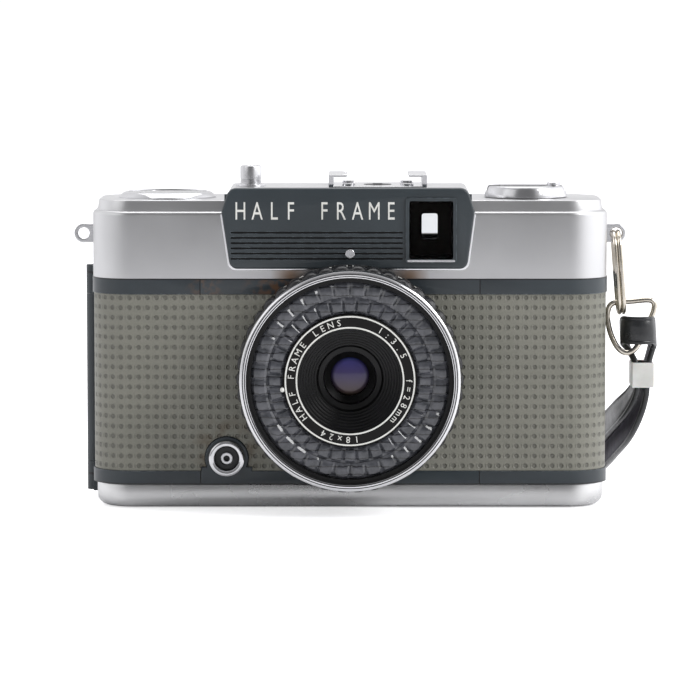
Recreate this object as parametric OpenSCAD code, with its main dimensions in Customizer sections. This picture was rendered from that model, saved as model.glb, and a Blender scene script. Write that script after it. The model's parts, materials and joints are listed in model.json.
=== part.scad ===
// Half frame camera, an assembly of separate named parts.
// Millimetres, +Z up, front of the camera towards -Y, +X to the right as seen from the front.
// The origin is the mouth of the tripod socket, in the plane that the camera stands on.

/* [Body] */
// Width of the body over the ends of its covering
body_w = 109; // [107:0.5:112]
// Depth of the body from the front covering to the back door
body_d = 28.5; // [28.5:0.1:29.5]
// Radius of the body's four corners, seen from above
corner_r = 8.5; // [7.5:0.1:9.5]
// Height of the deck on either side of the raised middle
deck_z = 65.2; // [65:0.1:65.8]
// Height of the raised middle of the top cover
hump_z = 67.6; // [67.4:0.1:68.2]
// Height of the base cover
base_h = 5.1; // [4.8:0.1:5.4]

/* [Lens] */
// Height of the lens axis
lens_z = 28.6; // [28.2:0.1:29]
// How far the front rim stands out from the front covering
lens_out = 16.0; // [15.8:0.1:17]
// Outer radius of the bright front rim
rim_r = 23.05; // [22.9:0.05:23.3]
// Radius of the filter thread inside the rim
filter_r = 21.4; // [21.3:0.1:21.6]
// Outer radius of the aperture ring
aperture_ring_r = 23.7; // [23.5:0.1:24]

/* [Controls] */
// Travel of the shutter button
button_travel = 1.8; // [1.4:0.2:2.2]
// How far the rewind knob lifts
rewind_lift = 8; // [6:0.5:8]
// Radius of the thumb wheel that advances the film
wheel_r = 13.4; // [13.2:0.1:13.6]

/* [Strap] */
// Width of the wrist strap
strap_w = 6.0; // [5.4:0.1:6.2]
// Thickness of the wrist strap
strap_t = 1.3; // [1.1:0.1:1.4]

/* [Hidden] */
$fn = 48;

half_w = body_w / 2;
half_d = body_d / 2;
over = 0.05;              // how far a cutter runs past a face
skin = 0.6;               // thickness of the covering
field = skin;             // inset of the casting under the covering
strip_out = 0.25;         // how far the painted strips stand proud of the covering
low_strip_z = base_h + 2.9;
high_strip_z = 45.5;
cover_z = 48.8;           // where the top cover starts
tier_z = 63.0;            // shoulder of the top cover
tier_in = 1.0;            // inset of the top cover above its shoulder
sheet = 1.0;              // wall of the top cover
split_y = 5.0;            // front edge of the back door's end walls
door_gap = 0.2;           // play round the back door
door_wall = 1.2;
front_plate_x = [-31.6, 27.4];
front_plate_t = 1.2;
hump_x = [-25.5, 25.0];

hinge_x = -half_w - 0.9;
hinge_y = split_y + 0.6;
hinge_r = 1.5;
hinge_pin_r = 0.6;
hinge_clear = 0.25;
hinge_z = [1.6, 7.9, 44.1, 50.4];   // foot, knuckle joints and top of the hinge

button_x = -21.2;
counter_x = -39;
shoe_x = 5.9;
rewind_x = 37.6;
chamber_r = 12.7;
chamber_y = 0.3;
spool_x = -36.5;
spool_y = half_d + 2.6 - wheel_r;     // the wheel stands 2.6 out of the back
wheel_z = [50.4, 54.4];
module_size = 0.5;
wheel_teeth = 33;
sprocket_teeth = 25;
gear_z = [48.9, 50.1];
spring_seat = gear_z[1] + 0.9;
sprocket_x = spool_x + module_size * (wheel_teeth + sprocket_teeth) / 2;
sprocket_y = spool_y;
film_y = 8.8;             // plane of the film rails
finder_x = 17.05;
finder_z = 59.15;
finder_w = 9.3;
finder_h = 12.3;
lug_x = half_w + 2.5;
lug_z = 57.5;
lug_hole_r = 1.2;
socket_x = -26.1;
socket_z = 10.7;
release_x = -14;
release_y = -3;

panel_out = 2.0;          // how far the front panel stands out from the top cover
front_y = -half_d;
lens_front = half_d + lens_out;       // distances along the lens axis, counted forward
seat = half_d - skin;                 // face of the front plate
flange_end = half_d + 1.6;
speed_ring = [flange_end + 0.2, flange_end + 3.0];
stop_ring = [flange_end + 3.2, flange_end + 10.5];
barrel_end = flange_end + 10.7;
barrel_r = 20.0;
flange_r = 21.5;
speed_ring_r = 23.2;
cell_r = [13.95, filter_r - 0.8];
cell_at = barrel_end + 0.3;
window_at = cell_at + 0.4;
window_end = window_at + 0.9;
thread_foot = window_end + 0.8;
hood_r = 13.8;
hood_foot = 19.0;

silver = "silver";
dark_grey = "dimgray";
khaki_grey = "gray";
black = "#222222";

// ---------------------------------------------------------------- shared shapes

// Plan of the body, a rectangle with round corners, drawn in from the covering by inset.
module plan(inset = 0) {
  w = half_w - inset;
  d = half_d - inset;
  r = max(corner_r - inset, 1);
  square([2 * (w - r), 2 * d], center = true);
  square([2 * w, 2 * (d - r)], center = true);
  for (sx = [-1, 1], sy = [-1, 1])
    translate([sx * (w - r), sy * (d - r)])
      circle(r);
}

// A slab of the body's plan between two heights.
module slab(inset, z0, z1) {
  translate([0, 0, z0])
    linear_extrude(z1 - z0)
      plan(inset);
}

// A box given by its lowest and highest corners.
module block(low, high) {
  translate(low)
    cube(high - low);
}

// An upright rod.
module rod(x, y, r, z0, z1) {
  translate([x, y, z0])
    cylinder(r = r, h = z1 - z0);
}

// Carries a shape onto the lens axis, with its own Z pointing out of the front.
module on_lens() {
  translate([0, 0, lens_z])
    rotate([90, 0, 0])
      children();
}

// A disc or ring on the lens axis between two distances counted forward.
module lens_ring(r_out, r_in, from, to) {
  on_lens()
    difference() {
      translate([0, 0, from])
        cylinder(r = r_out, h = to - from);
      if (r_in > 0)
        translate([0, 0, from - over])
          cylinder(r = r_in, h = to - from + 2 * over);
    }
}

// A shape drawn across the front, X to the right and Z up, given thickness along Y.
module across(y0, y1) {
  translate([0, y1, 0])
    rotate([90, 0, 0])
      linear_extrude(y1 - y0)
        children();
}

// A spur gear with straight flanks, centred on its own axis.
module gear(teeth, bore_r, h) {
  pitch_r = module_size * teeth / 2;
  root_r = pitch_r - 1.25 * module_size;
  tip_r = pitch_r + 0.9 * module_size;
  step = 360 / teeth;
  outline = [for (i = [0:teeth - 1], p = [[root_r, -0.30], [tip_r, -0.12], [tip_r, 0.12], [root_r, 0.30]])
    p[0] * [cos(step * (i + p[1])), sin(step * (i + p[1]))]];
  difference() {
    linear_extrude(h)
      polygon(outline);
    translate([0, 0, -over])
      cylinder(r = bore_r, h = h + 2 * over);
  }
}

// Space that the lens barrel's flange needs in the parts behind it.
module flange_space() {
  lens_ring(flange_r + 0.1, 0, seat, half_d + 1);
}

// Space that the hinge needs in the parts round it.
module hinge_space() {
  rod(hinge_x, hinge_y, hinge_r + hinge_clear, hinge_z[0] - 0.2, hinge_z[3] + 0.2);
}

// ---------------------------------------------------------------- body

module bracket_pocket() {
  for (z = [[hinge_z[0] - over, hinge_z[1] + over], [hinge_z[2] - over, hinge_z[3] + over]])
    block([hinge_x, 2.15, z[0]], [hinge_x + 2.05, hinge_y + over, z[1]]);
}

module casting_plan() {
  intersection() {
    plan(field);
    translate([-half_w, -half_d])
      square([body_w, half_d + split_y]);
  }
  intersection() {
    plan(field + door_wall + door_gap);
    translate([-half_w, -half_d])
      square([body_w, half_d + 11.8]);
  }
}

module strip_plan() {
  intersection() {
    plan(-strip_out);
    translate([-half_w - 1, -half_d - 1])
      square([body_w + 2, half_d + 1 + split_y]);
  }
}

// Post and arm that hold the button's spring above the sprocket's gear.
module spring_bridge() {
  left = 1.7;             // stays clear of the thumb wheel
  right = 3;
  arm = gear_z[1] + 0.2;
  block([button_x - left, -7.5, cover_z - over], [button_x + right, -4.5, spring_seat]);
  difference() {
    block([button_x - left, -7.5, arm], [button_x + right, 2.4, spring_seat]);
    rod(button_x, 0, 1.3, arm - over, spring_seat + over);
  }
}

module body_casting() {
  chamber = [base_h + 2.6, cover_z - 2.2];
  gate = [18, 24];
  color(dark_grey)
    difference() {
      union() {
        translate([0, 0, base_h])
          linear_extrude(cover_z - base_h)
            casting_plan();
        translate([0, 0, base_h])
          linear_extrude(low_strip_z - base_h)
            strip_plan();
        translate([0, 0, high_strip_z])
          linear_extrude(cover_z - high_strip_z)
            strip_plan();
        spring_bridge();
      }
      // recess for the front plate
      block([front_plate_x[0] - over, -half_d - 1, base_h - over],
            [front_plate_x[1] + over, -seat + front_plate_t, cover_z + over]);
      // cassette chamber and take-up chamber, open to the back
      rod(rewind_x, chamber_y, chamber_r, chamber[0], chamber[1]);
      block([rewind_x - chamber_r, chamber_y, chamber[0]],
            [rewind_x + chamber_r, half_d, chamber[1]]);
      rod(spool_x - 1, 1.8, 12.2, chamber[0], chamber[1]);
      block([spool_x - 13.2, 1.8, chamber[0]], [spool_x + 11.2, half_d, chamber[1]]);
      rod(sprocket_x, sprocket_y, 7.6, chamber[0], chamber[1]);
      block([sprocket_x - 7.6, sprocket_y, chamber[0]],
            [sprocket_x + 7.6, half_d, chamber[1]]);
      // light box behind the lens, and the film gate
      block([-10, -seat + front_plate_t + 2, lens_z - 13], [10, film_y - 1, lens_z + 13]);
      block([-gate[0] / 2, 0, lens_z - gate[1] / 2], [gate[0] / 2, 12.5, lens_z + gate[1] / 2]);
      // the film rails are a step below the casting's back edge
      block([-30, film_y, chamber[0]], [30, 12.5, chamber[1]]);
      lens_ring(9, 0, 6, half_d);
      // shafts through the roof and the floor
      rod(rewind_x, chamber_y, 4.4, chamber[1] - over, cover_z + over);
      rod(spool_x, spool_y, 2.1, chamber[1] - over, cover_z + over);
      rod(spool_x, spool_y, 1.6, base_h - over, chamber[0] + over);
      rod(sprocket_x, sprocket_y, 1.6, chamber[1] - over, cover_z + over);
      rod(sprocket_x, sprocket_y, 1.6, base_h - over, chamber[0] + over);
      // pocket for the door latch
      block([half_w - 4.4, 6.2, 8.6], [half_w, 12, 17]);
      // seat of the tripod socket
      rod(0, 0, 5.6, base_h - over, base_h + 2.1);
      translate([socket_x, 0, socket_z])
        rotate([90, 0, 0])
          cylinder(r = 2.95, h = half_d + 1);
      hinge_space();
      bracket_pocket();
    }
}

module front_plate() {
  tab_r = 4.5;
  color(dark_grey)
    difference() {
      union() {
        block([front_plate_x[0], -seat, base_h + 0.05],
              [front_plate_x[1], -seat + front_plate_t, cover_z - 0.05]);
        block([front_plate_x[0], -half_d - strip_out, base_h + 0.05],
              [front_plate_x[1], -seat, low_strip_z]);
        block([front_plate_x[0], -half_d - strip_out, high_strip_z],
              [front_plate_x[1], -seat, cover_z - 0.05]);
        across(-half_d - strip_out, -seat)
          translate([socket_x, socket_z])
            circle(tab_r);
        across(-half_d - strip_out, -seat)
          translate([socket_x - tab_r - 0.8, base_h + 1])
            square([2 * tab_r + 1.6, low_strip_z - base_h - 0.2]);
      }
      lens_ring(9, 0, 6, half_d + 1);
      flange_space();
      translate([socket_x, 0, socket_z])
        rotate([90, 0, 0])
          cylinder(r = 2.9, h = half_d + 1);
    }
}

module front_covering() {
  color(khaki_grey)
    difference() {
      slab(0, low_strip_z + 0.02, high_strip_z - 0.02);
      slab(skin, low_strip_z, high_strip_z);
      block([-half_w - 1, split_y - 0.1, low_strip_z], [half_w + 1, half_d + 1, high_strip_z]);
      lens_ring(21.7, 0, 6, half_d + 1);
      translate([socket_x, 0, socket_z])
        rotate([90, 0, 0])
          cylinder(r = 4.7, h = half_d + 1);
      block([socket_x - 5.4, -half_d - 1, low_strip_z - 1], [socket_x + 5.4, 0, low_strip_z + 0.9]);
      hinge_space();
      bracket_pocket();
    }
}

// ---------------------------------------------------------------- covers

module top_cover() {
  color(silver)
    difference() {
      union() {
        slab(-0.15, cover_z, tier_z);
        slab(tier_in, tier_z - over, deck_z);
        block([hump_x[0], -half_d + tier_in, deck_z - over], [hump_x[1], half_d - tier_in, hump_z]);
      }
      slab(sheet, cover_z - over, tier_z - sheet);
      slab(tier_in + sheet, tier_z - sheet - over, deck_z - sheet);
      block([hump_x[0] + sheet, -half_d + tier_in + sheet, deck_z - 2],
            [hump_x[1] - sheet, half_d - tier_in - sheet, hump_z - sheet]);
      // openings in the deck
      rod(button_x, 0, 2.5, deck_z - 2, hump_z + over);
      rod(counter_x, 0, 8.6, deck_z - 2, deck_z + over);
      rod(rewind_x, chamber_y, 4.0, deck_z - 2, deck_z + over);
      // finder windows, front and back
      block([finder_x - finder_w / 2 - 0.6, -half_d - 1, finder_z - finder_h / 2 - 0.6],
            [finder_x + finder_w / 2 + 0.6, -half_d + 2.5, finder_z + finder_h / 2 + 0.6]);
      block([finder_x - 4.2, half_d - 2.5, finder_z - 3.6], [finder_x + 4.2, half_d + 1, finder_z + 3.6]);
      flange_space();
      // slot for the thumb wheel
      block([spool_x - 10, half_d - 4, wheel_z[0] - 0.3], [spool_x + 10, half_d + 1, wheel_z[1] + 0.3]);
      hinge_space();
      bracket_pocket();
    }
}

// Outline of the front panel, which is widest at the cover's shoulder and has blunt corners.
module panel_outline(inset = 0) {
  top = 68.0 - inset;
  foot = 51.0 + inset;
  left = -27.0 + inset;
  right = 26.2 - inset;
  polygon([[left + 2.6, top], [left + 1.3, top - 1.1], [left, tier_z],
           [left + 1.5, foot + 1.6], [left + 3.1, foot],
           [right - 2.4, foot], [right - 0.9, foot + 1.6],
           [right, tier_z], [right - 1.3, top - 1.1], [right - 2.6, top]]);
}

module front_panel() {
  face = -half_d - 0.15;
  rib_pitch = 1.1;
  lip_w = 0.65;
  lip_out = 0.5;
  color(dark_grey)
    difference() {
      union() {
        across(face - panel_out + 0.5, face)
          panel_outline();
        across(face - panel_out, face - panel_out + 0.5)
          panel_outline(0.4);
        across(face, -half_d + tier_in)
          intersection() {
            panel_outline();
            translate([-40, tier_z])
              square([80, 10]);
          }
        block([finder_x - finder_w / 2 - lip_w, face - panel_out - lip_out,
               finder_z - finder_h / 2 - lip_w],
              [finder_x + finder_w / 2 + lip_w, face - panel_out,
               finder_z + finder_h / 2 + lip_w]);
      }
      block([finder_x - finder_w / 2, -half_d - 4, finder_z - finder_h / 2],
            [finder_x + finder_w / 2, 0, finder_z + finder_h / 2]);
      for (i = [0:5])
        block([-25.3, face - panel_out - 1, 52.9 + i * rib_pitch],
              [11.1, face - panel_out + 0.35, 53.4 + i * rib_pitch]);
      lens_ring(speed_ring_r + 0.2, 0, half_d, half_d + 3);
      translate([0, -half_d, 54.2])
        rotate([90, 0, 0])
          translate([0, 0, -1])
            cylinder(r = 0.7, h = 6);
    }
}

module index_stud() {
  face = half_d + 0.15 + panel_out;
  color(silver)
    translate([0, 0, 54.2])
      rotate([90, 0, 0]) {
        translate([0, 0, face - 1.8])
          cylinder(r = 0.65, h = 1.9);
        translate([0, 0, face])
          cylinder(r = 1.0, h = 0.8);
      }
}

module base_cover() {
  w = half_w - 0.5;
  d = half_d - 0.4;
  r = corner_r - 0.4;
  round_r = 2.4;
  color(silver)
    difference() {
      hull() {
        for (sx = [-1, 1], sy = [-1, 1])
          translate([sx * (w - r), sy * (d - r), 0]) {
            translate([0, 0, base_h - 0.6])
              cylinder(r = r, h = 0.6, $fn = 32);
            translate([0, 0, round_r])
              rotate_extrude($fn = 32)
                intersection() {
                  translate([r - round_r, 0])
                    circle(round_r, $fn = 32);
                  translate([0, -round_r])
                    square([r, round_r * 1.2]);
                }
          }
      }
      slab(1.45, 1.2, base_h + over);
      rod(0, 0, 5.55, -over, 2);
      rod(release_x, release_y, 2.7, -over, 2);
      for (p = screw_places)
        rod(p[0], p[1], 1.55, -over, 2);
      hinge_space();
      bracket_pocket();
    }
}

module tripod_socket() {
  color(silver)
    difference() {
      union() {
        rod(0, 0, 5.5, 0, base_h + 2.0);
        rod(0, 0, 7.5, 1.25, 2.2);
      }
      rod(0, 0, 2.6, -over, 5.5);
    }
}

screw_places = [[-44, 0], [44, 0], [22, -9]];

module screw(h) {
  difference() {
    union() {
      cylinder(r = 1.4, h = 0.8);
      translate([0, 0, 0.75])
        cylinder(r = 0.8, h = h);
    }
    translate([-2, -0.2, -over])
      cube([4, 0.4, 0.4]);
  }
}

module screws() {
  color(silver) {
    for (p = screw_places)
      translate([p[0], p[1], 0.4])
        screw(3.9);
    for (sx = [-1, 1], sy = [-1, 1])
      translate([shoe_x + sx * 6.2, chamber_y + sy * 6.2, hump_z + 0.82])
        rotate([180, 0, 0])
          screw(0.05);
  }
}

module strap_lugs() {
  color(silver)
    for (side = [-1, 1])
      difference() {
        union() {
          translate([side * lug_x, 0.6, lug_z])
            rotate([90, 0, 0])
              cylinder(r = 2.05, h = 1.2);
          block([side > 0 ? half_w + 0.16 : -lug_x + 0.4, -0.6, lug_z - 2.0],
                [side > 0 ? lug_x - 0.4 : -half_w - 0.16, 0.6, lug_z + 2.0]);
        }
        translate([side * lug_x, 1, lug_z])
          rotate([90, 0, 0])
            cylinder(r = lug_hole_r, h = 2);
      }
}

// ---------------------------------------------------------------- hinge and back door

module hinge_bracket() {
  color(dark_grey)
    for (z = [[hinge_z[0], hinge_z[1] - 0.1], [hinge_z[2] + 0.1, hinge_z[3]]])
      difference() {
        union() {
          rod(hinge_x, hinge_y, hinge_r, z[0], z[1]);
          block([hinge_x, 2.2, z[0]], [hinge_x + 2.0, split_y + 0.1, z[1]]);
        }
        rod(hinge_x, hinge_y, hinge_pin_r, z[0] - over, z[1] + over);
      }
}

module hinge_pin() {
  color(silver)
    rod(hinge_x, hinge_y, hinge_pin_r - 0.005, hinge_z[0] + 0.3, hinge_z[3] - 0.3);
}

module door_plan(outer, inner) {
  intersection() {
    difference() {
      plan(outer);
      plan(inner);
    }
    translate([-half_w - 1, split_y + door_gap])
      square([body_w + 2, half_d]);
  }
}

module door_slab(outer, inner, z0, z1) {
  translate([0, 0, z0])
    linear_extrude(z1 - z0)
      door_plan(outer, inner);
}

module latch_slot() {
  block([half_w - 3, 8.0, 9.8], [half_w + 1, 9.6, 14.8]);
}

module back_door() {
  inner = field + door_wall;
  foot = base_h + 0.3;
  head = cover_z - 0.3;
  color(dark_grey)
    difference() {
      union() {
        door_slab(field, inner, foot, head);
        door_slab(-strip_out, field + over, foot, low_strip_z);
        door_slab(-strip_out, field + over, high_strip_z, head);
        rod(hinge_x, hinge_y, hinge_r, hinge_z[1], hinge_z[2]);
        block([hinge_x, hinge_y - 0.3, hinge_z[1]],
              [-half_w + field + 0.4, hinge_y + hinge_r, hinge_z[2]]);
      }
      rod(hinge_x, hinge_y, hinge_pin_r + 0.06, 0, 60);
      latch_slot();
      for (z = [[0, hinge_z[1]], [hinge_z[2], 60]])
        rod(hinge_x, hinge_y, hinge_r + hinge_clear, z[0], z[1]);
    }
}

module door_covering() {
  color(khaki_grey)
    difference() {
      intersection() {
        door_slab(0, skin, low_strip_z + 0.02, high_strip_z - 0.02);
        translate([-half_w - 1, split_y + door_gap, 0])
          cube([body_w + 2, half_d, 60]);
      }
      rod(hinge_x, hinge_y, hinge_r + 0.1, 0, 60);
      block([hinge_x, 0, 0], [-half_w + field + 0.45, hinge_y + hinge_r + 0.05, 60]);
      latch_slot();
    }
}

module pressure_plate() {
  inner_face = half_d - field - door_wall;
  color(black)
    difference() {
      block([-17, film_y + 0.25, lens_z - 17], [17, film_y + 1.05, lens_z + 17]);
      for (x = [-14, 14])
        rod(x, film_y, 0.2, 0, 60);
    }
  color(silver)
    difference() {
      block([-12, film_y + 1.1, lens_z - 4], [12, inner_face, lens_z + 4]);
      block([-10.5, film_y + 1.0, lens_z - 4.1], [10.5, inner_face - 0.35, lens_z + 4.1]);
    }
}

module light_seals() {
  color(black)
    for (z = [base_h + 1.3, cover_z - 2.1])
      difference() {
        block([-46, 11.82, z], [46, half_d - field - door_wall - 0.02, z + 0.9]);
        block([-19.5, 11, lens_z - 17.5], [19.5, 14, lens_z + 17.5]);
      }
}

module door_latch() {
  color(silver) {
    intersection() {
      difference() {
        slab(-0.9, 9.0, 12.4);
        slab(-0.1, 8.9, 12.5);
      }
      block([half_w - 5, 7.0, 8], [half_w + 2, 10.6, 13]);
    }
    block([half_w - 2.2, 8.2, 10.1], [half_w + 0.1, 9.4, 12.2]);
    block([half_w - 3.6, 7.0, 10.1], [half_w - 2.2, 9.4, 12.2]);
  }
}

// ---------------------------------------------------------------- film transport

module advance_wheel() {
  color(black)
    translate([spool_x, spool_y, 0]) {
      difference() {
        union() {
          translate([0, 0, wheel_z[0]])
            cylinder(r = wheel_r, h = wheel_z[1] - wheel_z[0]);
          translate([0, 0, gear_z[0]])
            gear(wheel_teeth, 1.4, wheel_z[0] - gear_z[0] + over);
          translate([0, 0, 40])
            cylinder(r = 1.5, h = 16);
        }
        translate([0, 0, wheel_z[1] - 1.2])
          cylinder(r = 10.5, h = 3.5);
      }
      translate([0, 0, wheel_z[1] - 1.3])
        cylinder(r = 1.5, h = 3.2);
    }
}

module takeup_spool() {
  color(black)
    difference() {
      union() {
        rod(spool_x, spool_y, 5.0, base_h + 3.4, cover_z - 3.0);
        rod(spool_x, spool_y, 8.8, base_h + 3.0, base_h + 4.2);
        rod(spool_x, spool_y, 1.5, base_h + 0.6, base_h + 3.4);
      }
      rod(spool_x, spool_y, 1.56, 39.5, cover_z);
      for (a = [0:120:240])
        translate([spool_x, spool_y, 0])
          rotate([0, 0, a])
            block([3.2, -0.6, 14], [6, 0.6, 38]);
    }
}

module sprocket() {
  tooth_z = [lens_z - 14.1, lens_z + 14.1];
  color(silver)
    difference() {
      union() {
        rod(sprocket_x, sprocket_y, 1.5, base_h + 0.6, gear_z[1]);
        rod(sprocket_x, sprocket_y, 4.2, base_h + 3.0, cover_z - 2.6);
        for (z = tooth_z) {
          rod(sprocket_x, sprocket_y, 5.9, z - 1.6, z + 1.6);
          for (i = [0:7])
            translate([sprocket_x, sprocket_y, z])
              rotate([0, 0, i * 45 + 22.5])
                translate([5.5, -0.6, -0.9])
                  cube([1.2, 1.2, 1.8]);
        }
        translate([sprocket_x, sprocket_y, gear_z[0]])
          gear(sprocket_teeth, 1.4, gear_z[1] - gear_z[0]);
      }
      rod(sprocket_x, sprocket_y, 0.5, 0, base_h + 2);
    }
}

module counter_dial() {
  color(black) {
    difference() {
      rod(counter_x, 0, 8.3, deck_z - 0.5, deck_z - 0.1);
      rod(counter_x, 0, 1.0, deck_z - 0.6, deck_z);
    }
    rod(counter_x, 0, 1.0, 56.5, deck_z - 0.1);
    rod(counter_x, 0, 3.4, 57.0, 58.0);
  }
}

module counter_bezel() {
  color(silver)
    translate([counter_x, 0, 0])
      rotate_extrude()
        polygon([[8.4, deck_z], [10.4, deck_z], [10.4, deck_z + 0.35], [9.5, deck_z + 1.1],
                 [8.7, deck_z + 1.35], [8.4, deck_z + 1.35]]);
}

module counter_window() {
  color("white", 0.4)
    rod(counter_x, 0, 8.35, deck_z + 0.35, deck_z + 1.15);
}

// ---------------------------------------------------------------- shutter button

module button_collar() {
  color(silver)
    difference() {
      union() {
        rod(button_x, 0, 3.2, hump_z, hump_z + 0.4);
        rod(button_x, 0, 2.48, hump_z - 2.2, hump_z + 0.1);
      }
      rod(button_x, 0, 2.32, hump_z - 3, hump_z + 1);
    }
}

button_foot = gear_z[1] + button_travel + 0.4;

module shutter_button() {
  color(silver)
    difference() {
      union() {
          rod(button_x, 0, 2.27, hump_z - 1.5, hump_z + 4.4);
        rod(button_x, 0, 1.1, button_foot, hump_z - 1.4);
      }
      rod(button_x, 0, 1.1, hump_z + 1.6, hump_z + 5);
    }
}

// A coil of round wire, swept as one closed tube with flat ends.
module coil(turns, coil_r, wire_r, height) {
  steps = 16;
  sides = 6;
  rings = turns * steps;
  points = [for (i = [0:rings], k = [0:sides - 1]) let (
    a = 360 * i / steps,
    w = 360 * k / sides,
    r = coil_r + wire_r * cos(w))
    [r * cos(a), r * sin(a), wire_r * sin(w) + height * i / rings]];
  walls = [for (i = [0:rings - 1], k = [0:sides - 1]) let (
    a = sides * i + k,
    b = sides * i + (k + 1) % sides)
    each [[a, b, b + sides], [a, b + sides, a + sides]]];
  polyhedron(points, concat(walls, [[for (k = [sides - 1:-1:0]) k]],
                            [[for (k = [0:sides - 1]) sides * rings + k]]));
}

module button_spring() {
  wire = 0.25;
  color(silver)
    translate([button_x, 0, spring_seat + wire])
      coil(9, 1.75, wire, hump_z - 1.5 - spring_seat - 2 * wire);
}

// ---------------------------------------------------------------- rewind

module rewind_sleeve() {
  color(silver)
    difference() {
      union() {
        rod(rewind_x, chamber_y, 3.9, 47.2, deck_z - 0.2);
        rod(rewind_x, chamber_y, 5.4, cover_z + 0.1, cover_z + 1.1);
      }
      rod(rewind_x, chamber_y, 1.9, 46, deck_z);
    }
}

// Where the crank folds: a pin across the knob's slot.
crank_pivot = [rewind_x - 5.5, chamber_y, deck_z + 1.9];
crank_pin_r = 0.45;
grip_x = rewind_x + 6.0;

module crank_axis(r, half_length) {
  translate([crank_pivot[0], crank_pivot[1] + half_length, crank_pivot[2]])
    rotate([90, 0, 0])
      cylinder(r = r, h = 2 * half_length);
}

module rewind_knob() {
  top = deck_z + 2.5;
  slot_half = 2.2;
  slot_floor = deck_z + 1.3;
  color(silver) {
    difference() {
      translate([rewind_x, chamber_y, 0])
        rotate_extrude()
          polygon([[0, deck_z + 0.15], [8.85, deck_z + 0.15], [8.85, deck_z + 0.5],
                   [8.4, top - 0.3], [8.1, top], [0, top]]);
      block([rewind_x - 9.5, chamber_y - slot_half, slot_floor],
            [rewind_x + 9.5, chamber_y + slot_half, top + 1]);
      crank_axis(1.0, slot_half);
      crank_axis(crank_pin_r + 0.05, slot_half + 1);
    }
    difference() {
      union() {
        rod(rewind_x, chamber_y, 1.8, 38, deck_z + 0.2);
        rod(rewind_x, chamber_y, 3.6, 38, 40.2);
      }
      block([rewind_x - 4, chamber_y - 0.7, 37], [rewind_x + 4, chamber_y + 0.7, 39.6]);
    }
  }
}

module rewind_crank() {
  heel = 0.6;
  toe = grip_x + 1.6;
  color(silver)
    difference() {
      union() {
        block([crank_pivot[0] - heel, chamber_y - 1.9, deck_z + 1.45],
              [toe, chamber_y + 1.9, deck_z + 2.35]);
        crank_axis(crank_pin_r, 2.9);
      }
      rod(grip_x, chamber_y, 0.86, deck_z, deck_z + 4);
    }
}

module crank_grip() {
  color(silver)
    translate([grip_x, chamber_y, 0]) {
      translate([0, 0, deck_z + 1.5])
        cylinder(r = 0.8, h = 0.95);
      translate([0, 0, deck_z + 2.4])
        cylinder(r = 1.5, h = 0.8);
    }
}

// ---------------------------------------------------------------- accessory shoe

module hot_shoe() {
  out_w = 20.9;
  slot_w = 13.0;
  wall = 1.1;
  long = 18;
  top = hump_z + 2.75;
  color(silver)
    translate([shoe_x, chamber_y, 0])
      difference() {
        block([-out_w / 2, -long / 2, hump_z], [out_w / 2, long / 2, top]);
        block([-out_w / 2 + wall, -long / 2 - 1, hump_z + 0.35],
              [out_w / 2 - wall, long / 2 + 1, top - 0.4]);
        block([-slot_w / 2, -long / 2 - 1, hump_z + 0.35], [slot_w / 2, long / 2 + 1, top + 1]);
        cylinder(r = 3.0, h = 100);
        for (sx = [-1, 1], sy = [-1, 1])
          translate([sx * 6.2, sy * 6.2, 0])
            cylinder(r = 1.45, h = 100);
      }
}

module shoe_contact() {
  color(black)
    difference() {
      rod(shoe_x, chamber_y, 2.95, hump_z + 0.02, hump_z + 0.4);
      rod(shoe_x, chamber_y, 1.1, hump_z, hump_z + 1);
    }
  color(silver)
    rod(shoe_x, chamber_y, 1.05, hump_z + 0.02, hump_z + 0.55);
}

// ---------------------------------------------------------------- finder

finder_box = [finder_w / 2 + 0.5, finder_h / 2 + 0.5];

module finder_housing() {
  back = half_d - 2.2;
  color(black)
    difference() {
      block([finder_x - finder_box[0], -half_d + 1.0, finder_z - finder_box[1]],
            [finder_x + finder_box[0], back, finder_z + finder_box[1]]);
      block([finder_x - finder_w / 2, -half_d, finder_z - finder_h / 2],
            [finder_x + finder_w / 2, 0, finder_z + finder_h / 2]);
      block([finder_x - 3.6, -1, finder_z - 4.2], [finder_x + 3.6, back + 1, finder_z + 4.2]);
      // slot that the low light flag rises through
      block([finder_x - 3.1, -6.2, finder_z - finder_box[1] - 1],
            [finder_x + 3.1, -5.4, finder_z - finder_h / 2 + 1]);
    }
}

module finder_lenses() {
  color("white", 0.4) {
    block([finder_x - finder_w / 2 + 0.05, -half_d - 0.9, finder_z - finder_h / 2 + 0.05],
          [finder_x + finder_w / 2 - 0.05, -half_d + 0.5, finder_z + finder_h / 2 - 0.05]);
    block([finder_x - 3.5, half_d - 4.4, finder_z - 4.1],
          [finder_x + 3.5, half_d - 2.3, finder_z + 4.1]);
  }
}

module eyepiece_frame() {
  color(black)
    difference() {
      union() {
        block([finder_x - 5.4, half_d + 0.16, finder_z - 4.8], [finder_x + 5.4, half_d + 1.2, finder_z + 4.8]);
        block([finder_x - 4.1, half_d - 2.1, finder_z - 3.5], [finder_x + 4.1, half_d + 0.2, finder_z + 3.5]);
      }
      block([finder_x - 3.2, half_d - 3, finder_z - 2.6], [finder_x + 3.2, half_d + 2, finder_z + 2.6]);
    }
}

module low_light_flag() {
  color("red")
    block([finder_x - 2.9, -5.95, cover_z + 0.3], [finder_x + 2.9, -5.65, finder_z - finder_box[1] - 0.1]);
}

// ---------------------------------------------------------------- exposure meter

module meter_movement() {
  color(silver)
    difference() {
      block([-7, -9, cover_z + 0.05], [5, 3, 57]);
      rod(-1, -3, 4.4, 50, 58);
    }
  color(black)
    difference() {
      rod(-1, -3, 4.2, 50.1, 56.6);
      rod(-1, -3, 0.85, 50, 58);
    }
}

module meter_needle() {
  color(black) {
    rod(-1, -3, 0.75, 50.3, 57.6);
    block([-1.3, -3.2, 57.2], [-0.7, 6.0, 57.6]);
  }
}

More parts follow.
